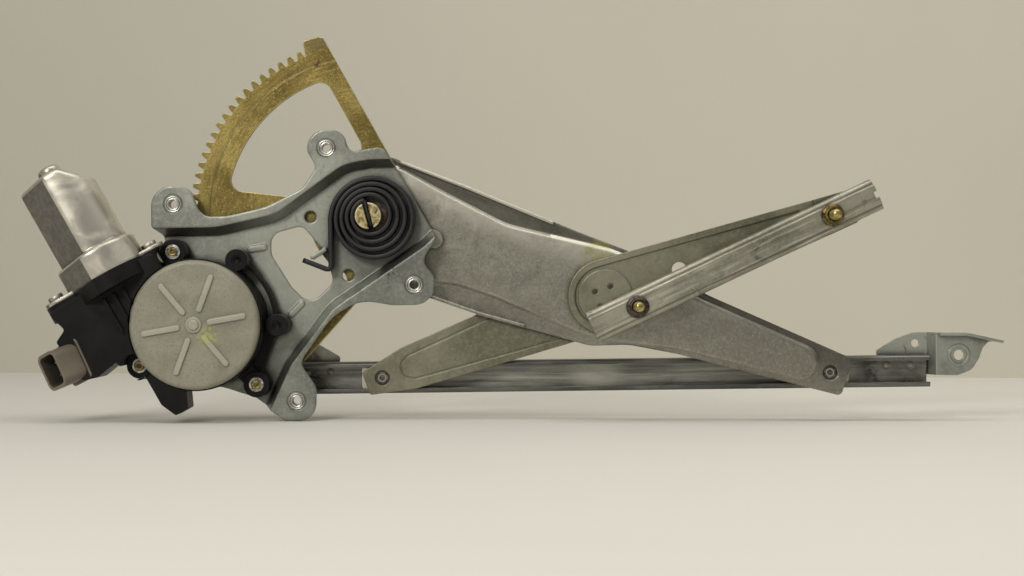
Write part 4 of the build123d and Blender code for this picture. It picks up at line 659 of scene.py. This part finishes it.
def cover_coating():
    """Textured grey-green coating of the gear cover, lighter on the tops of its ribs, with painted shade in
    its crevices, painted highlights along its edges and a smear of yellow paint.
    """
    s = Shader("cover_paint", 0.15, 0.46, (0.36, 0.36, 0.30))
    grain = s.noise(0.0009, 3, 0.7)
    clouds = s.noise(0.022, 4, 0.6, 0.6)
    base = s.mix(s.span(clouds, 0.35, 0.68), (0.235, 0.23, 0.178), (0.30, 0.29, 0.225))
    base = s.mix(s.span(grain, 0.50, 0.70, 0.0, 0.55), base, (0.13, 0.125, 0.095))
    base = s.mix(s.specks(0.007, 0.05), base, (0.07, 0.065, 0.05))
    raised = s.span(s.axis(s.place, 1), DRIVE.y - 0.9 * MM, DRIVE.y - 0.4 * MM, 1.0, 0.0)
    base = s.mix(s.times(raised, 0.42), base, (0.52, 0.51, 0.44))
    # painted shade in the crevices
    base = s.crevices(base, 0.0020, 0.75)
    # painted highlight along the edges
    base = s.mix(s.times(s.edges(0.0011), 0.45), base, (0.62, 0.61, 0.53))
    smear = s.times(s.near(COVER_SMEAR, 0.002, 0.0085), s.span(s.noise(0.005, 5, 0.75, 1.0), 0.42, 0.58))
    base = s.mix(s.times(smear, 0.75), base, (0.42, 0.44, 0.10))
    s.colour(base)
    s.roughness(clouds, 0.38, 0.54)
    s.relief(s.plus(grain, s.times(s.noise(0.0025, 3, 0.6), 0.8)), 0.00012, 0.0011)
    return s


MATERIALS = {
    "zinc_plate": plate_zinc,
    "zinc_lift": lift_arm_zinc,
    "zinc_rail": rail_zinc,
    "zinc_arm": cross_arm_zinc,
    "zinc_bracket": lambda: zinc_sheet("zinc_bracket", (0.42, 0.44, 0.40), (0.24, 0.25, 0.225),
                                       crease=0.0008, smudged=0.85),
    "nut_metal": nut_metal,
    "pin_metal": pin_metal,
    "screw_metal": screw_metal,
    "yellow_chromate": yellow_chromate,
    "motor_steel": can_steel,
    "cover_paint": cover_coating,
    "greased_channel": greased_channel,
    "dark_collar": collar_metal,
    "stud_face": stud_face,
    "spring_steel": lambda: plain_metal("spring_steel", (0.0060, 0.0056, 0.0078), 0.44, 0.4, metallic=0.0,
                                        edge=0.0004),
    "brass": lambda: plain_metal("brass", (0.62, 0.52, 0.20), 0.30, 0.5, 0.003),
    "plain_steel": lambda: plain_metal("plain_steel", (0.40, 0.40, 0.38), 0.36),
    "copper": lambda: plain_metal("copper", (0.62, 0.30, 0.16), 0.3),
    "black_moulding": lambda: moulding("black_moulding", (0.005, 0.005, 0.005), 0.40, dust=0.002,
                                       edge=0.0009, shine=0.18),
    "connector_moulding": lambda: moulding("connector_moulding", (0.15, 0.128, 0.098), 0.42,
                                           edge=0.0008, shade=0.018),
    "rubber": lambda: moulding("rubber", (0.02, 0.02, 0.02), 0.8),
    "wheel_moulding": lambda: moulding("wheel_moulding", (0.70, 0.68, 0.60), 0.45),
    "shoe_moulding": lambda: moulding("shoe_moulding", (0.50, 0.47, 0.39), 0.45, dust=0.02),
    "ferrite": lambda: moulding("ferrite", (0.05, 0.05, 0.05), 0.7),
}
NODE_MATERIALS = {                                # nodes that look unlike the rest of their material slot
    "mounting_nuts": "nut_metal",
    "pivot_pin": "pin_metal",
    "housing_screws": "screw_metal",
    "lift_arm": "zinc_lift",
    "arm_rivets": "zinc_lift",
    "equalizer_rail": "zinc_rail",
    "glass_bracket_right": "zinc_bracket",
    "glass_bracket_left": "zinc_bracket",
    "lower_stud": "stud_face",
    "lift_stud": "stud_face",
    # the pivot bush takes the collars' dark material: painted shade where it shows inside the spring's first
    # coil
    "pivot_bush": "dark_collar",
}


def dress_nodes():
    made = {name: build().material for name, build in MATERIALS.items()}
    for part in frame["record"]["subparts"]:
        mesh = frame["nodes"][part["node"]].data
        mesh.materials.clear()
        mesh.materials.append(made[NODE_MATERIALS.get(part["node"], part["material_slot"])])
    return made


# ---- Shapes in mesh code -------------------------------------------------------------------------
def skin(verts, count):
    """Joins rows of count points each, and closes both ends."""
    faces = []
    for start in range(0, len(verts) - count, count):
        for step in range(count):
            first, after = start + step, start + (step + 1) % count
            faces.append((first, after, after + count, first + count))
    faces.append(tuple(range(count))[::-1])
    faces.append(tuple(range(len(verts) - count, len(verts))))
    return verts, faces


def join(parts):
    verts, faces = [], []
    for more_verts, more_faces in parts:
        faces += [tuple(index + len(verts) for index in face) for face in more_faces]
        verts += more_verts
    return verts, faces


def lathe(profile, centre, steps=LATHE_STEPS):
    """Turned round an axis through a place; profile holds (radius, depth) pairs, in metres.

    A radius may be a function of the angle and the depth.
    """
    verts = []
    for radius, depth in profile:
        for step in range(steps):
            angle = 2 * math.pi * step / steps
            reach = radius(angle, depth) if callable(radius) else radius
            verts.append(centre + Vector((math.cos(angle) * reach, depth, math.sin(angle) * reach)))
    return skin(verts, steps)


def rounded_slab(size, corner, depths, place, steps):
    """A slab with rounded corners; depths holds (inset, depth) pairs from its back to its front."""
    verts = []
    for inset, depth in depths:
        for index, (sign_x, sign_z) in enumerate(((1, 1), (-1, 1), (-1, -1), (1, -1))):
            for step in range(steps + 1):
                angle = math.radians(90 * (index + step / steps))
                x = sign_x * (size[0] / 2 - corner) + math.cos(angle) * (corner - inset)
                z = sign_z * (size[1] / 2 - corner) + math.sin(angle) * (corner - inset)
                verts.append(place @ (Vector((x, depth, z)) * MM))
    return skin(verts, 4 * (steps + 1))


def turned(radius, angle, centre=(0.0, 0.0)):
    angle = math.radians(angle)
    return centre[0] + radius * math.cos(angle), centre[1] + radius * math.sin(angle)


def sweep(points, thickness, front, back):
    """A strip with rounded edges that stands across the drawing plane and follows a line in it."""
    section = []
    for number, (side, depth) in enumerate(((1, back), (1, front), (-1, front), (-1, back))):
        inward = STRIP_EDGE_R if depth == front else -STRIP_EDGE_R
        inner = (side * (thickness / 2 - STRIP_EDGE_R), depth + inward)
        section += [turned(STRIP_EDGE_R, 90 - 90 * number - 30 * step, inner) for step in range(4)]
    verts = []
    for index, point in enumerate(points):
        before, after = points[max(index - 1, 0)], points[min(index + 1, len(points) - 1)]
        along = Vector((after[0] - before[0], after[1] - before[1])).normalized()
        for out, depth in section:
            verts.append(at(point[0] + along.y * out, depth, point[1] - along.x * out))
    return skin(verts, len(section))


def make_piece(name, shape, body, slot, smooth=True):
    """Makes a mesh that rides a body, with its faces turned outwards."""
    verts, faces = shape
    mesh = bpy.data.meshes.new(name)
    mesh.from_pydata([tuple(v) for v in verts], [], faces)
    shell = bmesh.new()
    shell.from_mesh(mesh)
    bmesh.ops.recalc_face_normals(shell, faces=shell.faces)
    shell.to_mesh(mesh)
    shell.free()
    mesh.materials.append(finishes[slot])
    mesh.polygons.foreach_set("use_smooth", [smooth] * len(mesh.polygons))
    mesh.update()
    piece = bpy.data.objects.new(name, mesh)
    bpy.context.scene.collection.objects.link(piece)
    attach(piece, body)
    return piece


# ---- Modelled pieces -----------------------------------------------------------------------------
def coil_line():
    """The wound strip's middle line from the pin's slot outwards, then the tail and its hook."""
    centre, radius, start = (0.0, 0.0), COIL_START_R, SLOT_ANGLE
    points = []
    for quarter in range(2, 4 * COIL_TURNS + 3):
        end = 90.0 * quarter
        points += [turned(radius, start + (end - start) * step / ARC_STEPS, centre)
                   for step in range(ARC_STEPS)]
        growth = COIL_GROWTH[quarter % 4]
        centre = turned(-growth, end, centre)
        radius, start = radius + growth, end
    x, z = turned(radius, start, centre)
    corner = (x, z - TAIL_DROP)
    bend = 90.0 + HOOK_RISE
    cut = TAIL_BEND_R * math.tan(math.radians(bend / 2))
    bend_centre = (x - TAIL_BEND_R, corner[1] + cut)
    points += [(x, z - (TAIL_DROP - cut) * step / TAIL_STEPS) for step in range(TAIL_STEPS)]
    points += [turned(TAIL_BEND_R, -bend * step / BEND_STEPS, bend_centre) for step in range(BEND_STEPS + 1)]
    points += [turned(cut + (HOOK_L - cut) * step / HOOK_STEPS, 180 - HOOK_RISE, corner)
               for step in range(1, HOOK_STEPS + 1)]
    return points


def wound_spring():
    """The coil stays with the plate, while the end in the pin's slot turns with the arm."""
    strip = sweep(coil_line(), STRIP_T, STRIP_FRONT, STRIP_BACK)
    coil = make_piece("spring_coil", strip, "base", "spring_steel")
    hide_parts("spiral_spring")
    line = [turned(radius, SLOT_ANGLE) for radius in LEG_RADII]
    line += [turned(COIL_START_R, SLOT_ANGLE + angle) for angle in LEG_OVERLAP]
    leg = sweep(line, STRIP_T - 2 * LEG_THINNER, STRIP_FRONT + LEG_NARROWER, STRIP_BACK - LEG_NARROWER)
    make_piece("spring_end", leg, "lift_arm", "spring_steel")


def node_ends(node):
    """For a node of two copies side by side: each copy's middle, back and front."""
    obj = frame["nodes"][node]
    points = [obj.matrix_world @ vertex.co for vertex in obj.data.vertices]
    middle = (min(p.x for p in points) + max(p.x for p in points)) / 2
    places = []
    for side in (-1, 1):
        mine = [p for p in points if (p.x - middle) * side > 0]
        low = Vector(min(p[i] for p in mine) for i in range(3))
        high = Vector(max(p[i] for p in mine) for i in range(3))
        centre = (low + high) / 2
        places.append((Vector((centre.x, 0, centre.z)), high.y, low.y))
    return places


def equalizer_studs():
    """Threaded studs with a low head behind the rail's web and a domed, pitted end."""
    parts = []
    shoulder = node_ends("stud_collars")[0][2]
    for centre, back, front in node_ends("equalizer_studs"):

        def crest(angle, depth):
            turn = (depth / THREAD_PITCH + angle / (2 * math.pi)) % 1
            return STUD_R * MM - THREAD_DEPTH * MM * 2 * abs(turn - 0.5)

        neck = back - STUD_HEAD_T * MM
        tip = front + STUD_DOME * MM
        profile = [(STUD_HEAD_PIT_R * MM, back), (STUD_HEAD_R * MM, back), (STUD_HEAD_R * MM, neck),
                   (STUD_SHANK_R * MM, neck), (STUD_SHANK_R * MM, shoulder)]
        profile += [(crest, shoulder + (tip - shoulder) * row / THREAD_ROWS)
                    for row in range(THREAD_ROWS + 1)]
        for row in range(1, DOME_ROWS + 1):
            angle = math.pi / 2 * row / DOME_ROWS
            profile.append(((STUD_SHANK_R * math.cos(angle) + STUD_DIMPLE_R) * MM,
                            tip - STUD_DOME * MM * math.sin(angle)))
        parts.append(lathe(profile, centre))
    piece = make_piece("threaded_studs", join(parts), "equalizer_rail", "brass")
    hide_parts("equalizer_studs")


def collar_nuts():
    """Flanged collars under the studs: a round flange and a chamfered hexagon."""
    parts = []
    for centre, back, front in node_ends("stud_collars"):
        chamfer_from = front + COLLAR_CHAMFER * MM

        def hexagon(angle, depth):
            face = (angle - math.radians(RAIL_RISE) + math.pi / 6) % (math.pi / 3) - math.pi / 6
            flat = COLLAR_FLAT * MM / math.cos(face)
            chamfer = COLLAR_FLAT * MM * COLLAR_CORNER - max(0.0, chamfer_from - depth) * COLLAR_SLOPE
            return min(flat, chamfer)

        foot = back - FLANGE[-1][1] * MM
        profile = [(radius * MM, back - rise * MM) for radius, rise in FLANGE]
        profile += [(hexagon, foot + (chamfer_from - foot) * row / HEXAGON_ROWS)
                    for row in range(HEXAGON_ROWS + 1)]
        profile += [(hexagon, front + COLLAR_CHAMFER / 2 * MM), (hexagon, front)]
        profile += [(radius * MM, front + depth * MM) for radius, depth in COLLAR_MOUTH]
        parts.append(lathe(profile, centre, COLLAR_STEPS))
    piece = make_piece("collar_nuts", join(parts), "equalizer_rail", "dark_collar")
    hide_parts("stud_collars")


def boss_plugs():
    """Moulded plugs that close the housing's two bosses."""
    profile = [(radius * MM, depth * MM) for radius, depth in BOSS_PLUG]
    parts = [lathe(profile, at(x, 0, z)) for x, z in BOSSES]
    make_piece("boss_plugs", join(parts), "base", "black_moulding")


def flange_nut():
    """Square nut caught in the housing's screw ear, its edge to the cabin side."""
    turn = Matrix.Rotation(-math.radians(WORM_HEADING - 90), 4, "Y")
    across, along = EAR_NUT_PLACE
    place = Matrix.Translation(CAN_BASE + CAN_ACROSS * across * MM + CAN_ALONG * along * MM) @ turn
    slab = rounded_slab(EAR_NUT_SIZE, EAR_NUT_CORNER, EAR_NUT_DEPTHS, place, 3)
    make_piece("flange_nut", slab, "base", "plain_steel", smooth=False)


def connector_flange():
    """Thin collar round the connector where it leaves the housing."""
    turn = Matrix((SOCKET_SIDE, -SOCKET_OUT, SOCKET_UP)).transposed().to_4x4()
    place = Matrix.Translation(SOCKET_ROOT) @ turn
    slab = rounded_slab(SOCKET_FLANGE_SIZE, SOCKET_FLANGE_CORNER, SOCKET_FLANGE_DEPTHS, place, 6)
    make_piece("connector_flange", slab, "base", "connector_moulding", smooth=False)


# ---- Stage, lamps and camera ---------------------------------------------------------------------
def plain_surface(name, colour):
    """Matte surface with the faintest clouding and grain, and painted shade that makes it a little darker to
    the left.
    """
    s = Shader(name, 0.0, 0.75, colour)
    clouds = s.noise(0.30, 3, 0.5)
    base = s.mix(s.span(clouds, 0.3, 0.7, 0.0, 0.5), colour, dimmed(colour, 0.93))
    # painted shade, darker to the left
    left = s.span(s.axis(s.place, 0), -0.42, 0.45, 0.9, 0.0)
    base = s.mix(left, base, dimmed(colour, 0.76))
    s.colour(base)
    s.relief(s.noise(0.004, 3, 0.6), 0.0001, 0.0)
    return s.material


def one_sided(material):
    """Lets the part be looked at from behind the wall and from below the table."""
    tree = material.node_tree
    mix = tree.nodes.new("ShaderNodeMixShader")
    tree.links.new(tree.nodes.new("ShaderNodeNewGeometry").outputs["Backfacing"], mix.inputs["Fac"])
    tree.links.new(tree.nodes["Principled BSDF"].outputs["BSDF"], mix.inputs[1])
    tree.links.new(tree.nodes.new("ShaderNodeBsdfTransparent").outputs["BSDF"], mix.inputs[2])
    tree.links.new(mix.outputs["Shader"], tree.nodes["Material Output"].inputs["Surface"])
    return material


def sheet_mesh(name, corners, material):
    mesh = bpy.data.meshes.new(name)
    mesh.from_pydata(corners, [], [(0, 1, 2, 3)])
    mesh.materials.append(material)
    obj = bpy.data.objects.new(name, mesh)
    bpy.context.scene.collection.objects.link(obj)


def stage():
    """A table level with the part's lowest point at the lowest ear, and a wall behind it."""
    back = PIVOT.y + WALL_BEHIND
    left_low, right_low = (CAD_BOX[0][2] + (EARS[3].x - x) * TABLE_FALL for x in (TABLE_LEFT, TABLE_RIGHT))
    back_left, back_right = (TABLE_LEFT, back, left_low), (TABLE_RIGHT, back, right_low)
    table = [(TABLE_LEFT, TABLE_FRONT, left_low), (TABLE_RIGHT, TABLE_FRONT, right_low),
             back_right, back_left]
    wall = [back_left, back_right, (TABLE_RIGHT, back, right_low + WALL_HEIGHT),
            (TABLE_LEFT, back, left_low + WALL_HEIGHT)]
    sheet_mesh("floor", table, one_sided(plain_surface("table_top", TABLE_COLOUR)))
    sheet_mesh("backdrop", wall, one_sided(plain_surface("wall", WALL_COLOUR)))


def room():
    """The world: a dark floor and a pale ceiling of light."""
    world = bpy.data.worlds.new("room")
    bpy.context.scene.world = world
    world.use_nodes = True
    tree = world.node_tree
    direction = tree.nodes.new("ShaderNodeSeparateXYZ")
    tree.links.new(tree.nodes.new("ShaderNodeTexCoord").outputs["Generated"], direction.inputs[0])
    lift = tree.nodes.new("ShaderNodeMapRange")
    lift.inputs["From Min"].default_value = -1.0
    tree.links.new(direction.outputs[2], lift.inputs["Value"])
    ramp = tree.nodes.new("ShaderNodeValToRGB")
    tree.links.new(lift.outputs["Result"], ramp.inputs["Fac"])
    for element, (position, colour) in zip(ramp.color_ramp.elements, (ROOM_LOW, ROOM_HIGH)):
        element.position, element.color = position, colour
    tree.links.new(ramp.outputs["Color"], tree.nodes["Background"].inputs["Color"])
    tree.nodes["Background"].inputs["Strength"].default_value = ROOM_STRENGTH


def lamps():
    for name, offset, size, power in LAMPS:
        data = bpy.data.lights.new(name, "AREA")
        data.shape = "RECTANGLE"
        data.size, data.size_y = size
        data.energy = power
        data.color = LAMP_COLOUR
        obj = bpy.data.objects.new(name, data)
        obj.location = LIT_PLACE + Vector(offset)
        obj.rotation_euler = (-Vector(offset)).to_track_quat("-Z", "Y").to_euler()
        bpy.context.scene.collection.objects.link(obj)


def camera():
    """Level and square to the drawing plane, but for a slight roll."""
    data = bpy.data.cameras.new("camera")
    data.lens = CAMERA_LENS
    data.sensor_width = 36
    obj = bpy.data.objects.new("camera", data)
    turn = Matrix((heading(-CAMERA_ROLL), heading(90 - CAMERA_ROLL), Vector((0, -1, 0)))).transposed()
    obj.matrix_world = Matrix.Translation(PIVOT + CAMERA_FROM_PIVOT) @ turn.to_4x4()
    bpy.context.scene.collection.objects.link(obj)
    bpy.context.scene.camera = obj


finishes = dress_nodes()
equalizer_studs()
collar_nuts()
wound_spring()
boss_plugs()
flange_nut()
connector_flange()
stage()
room()
lamps()
camera()
bpy.context.scene.view_settings.view_transform = "Standard"
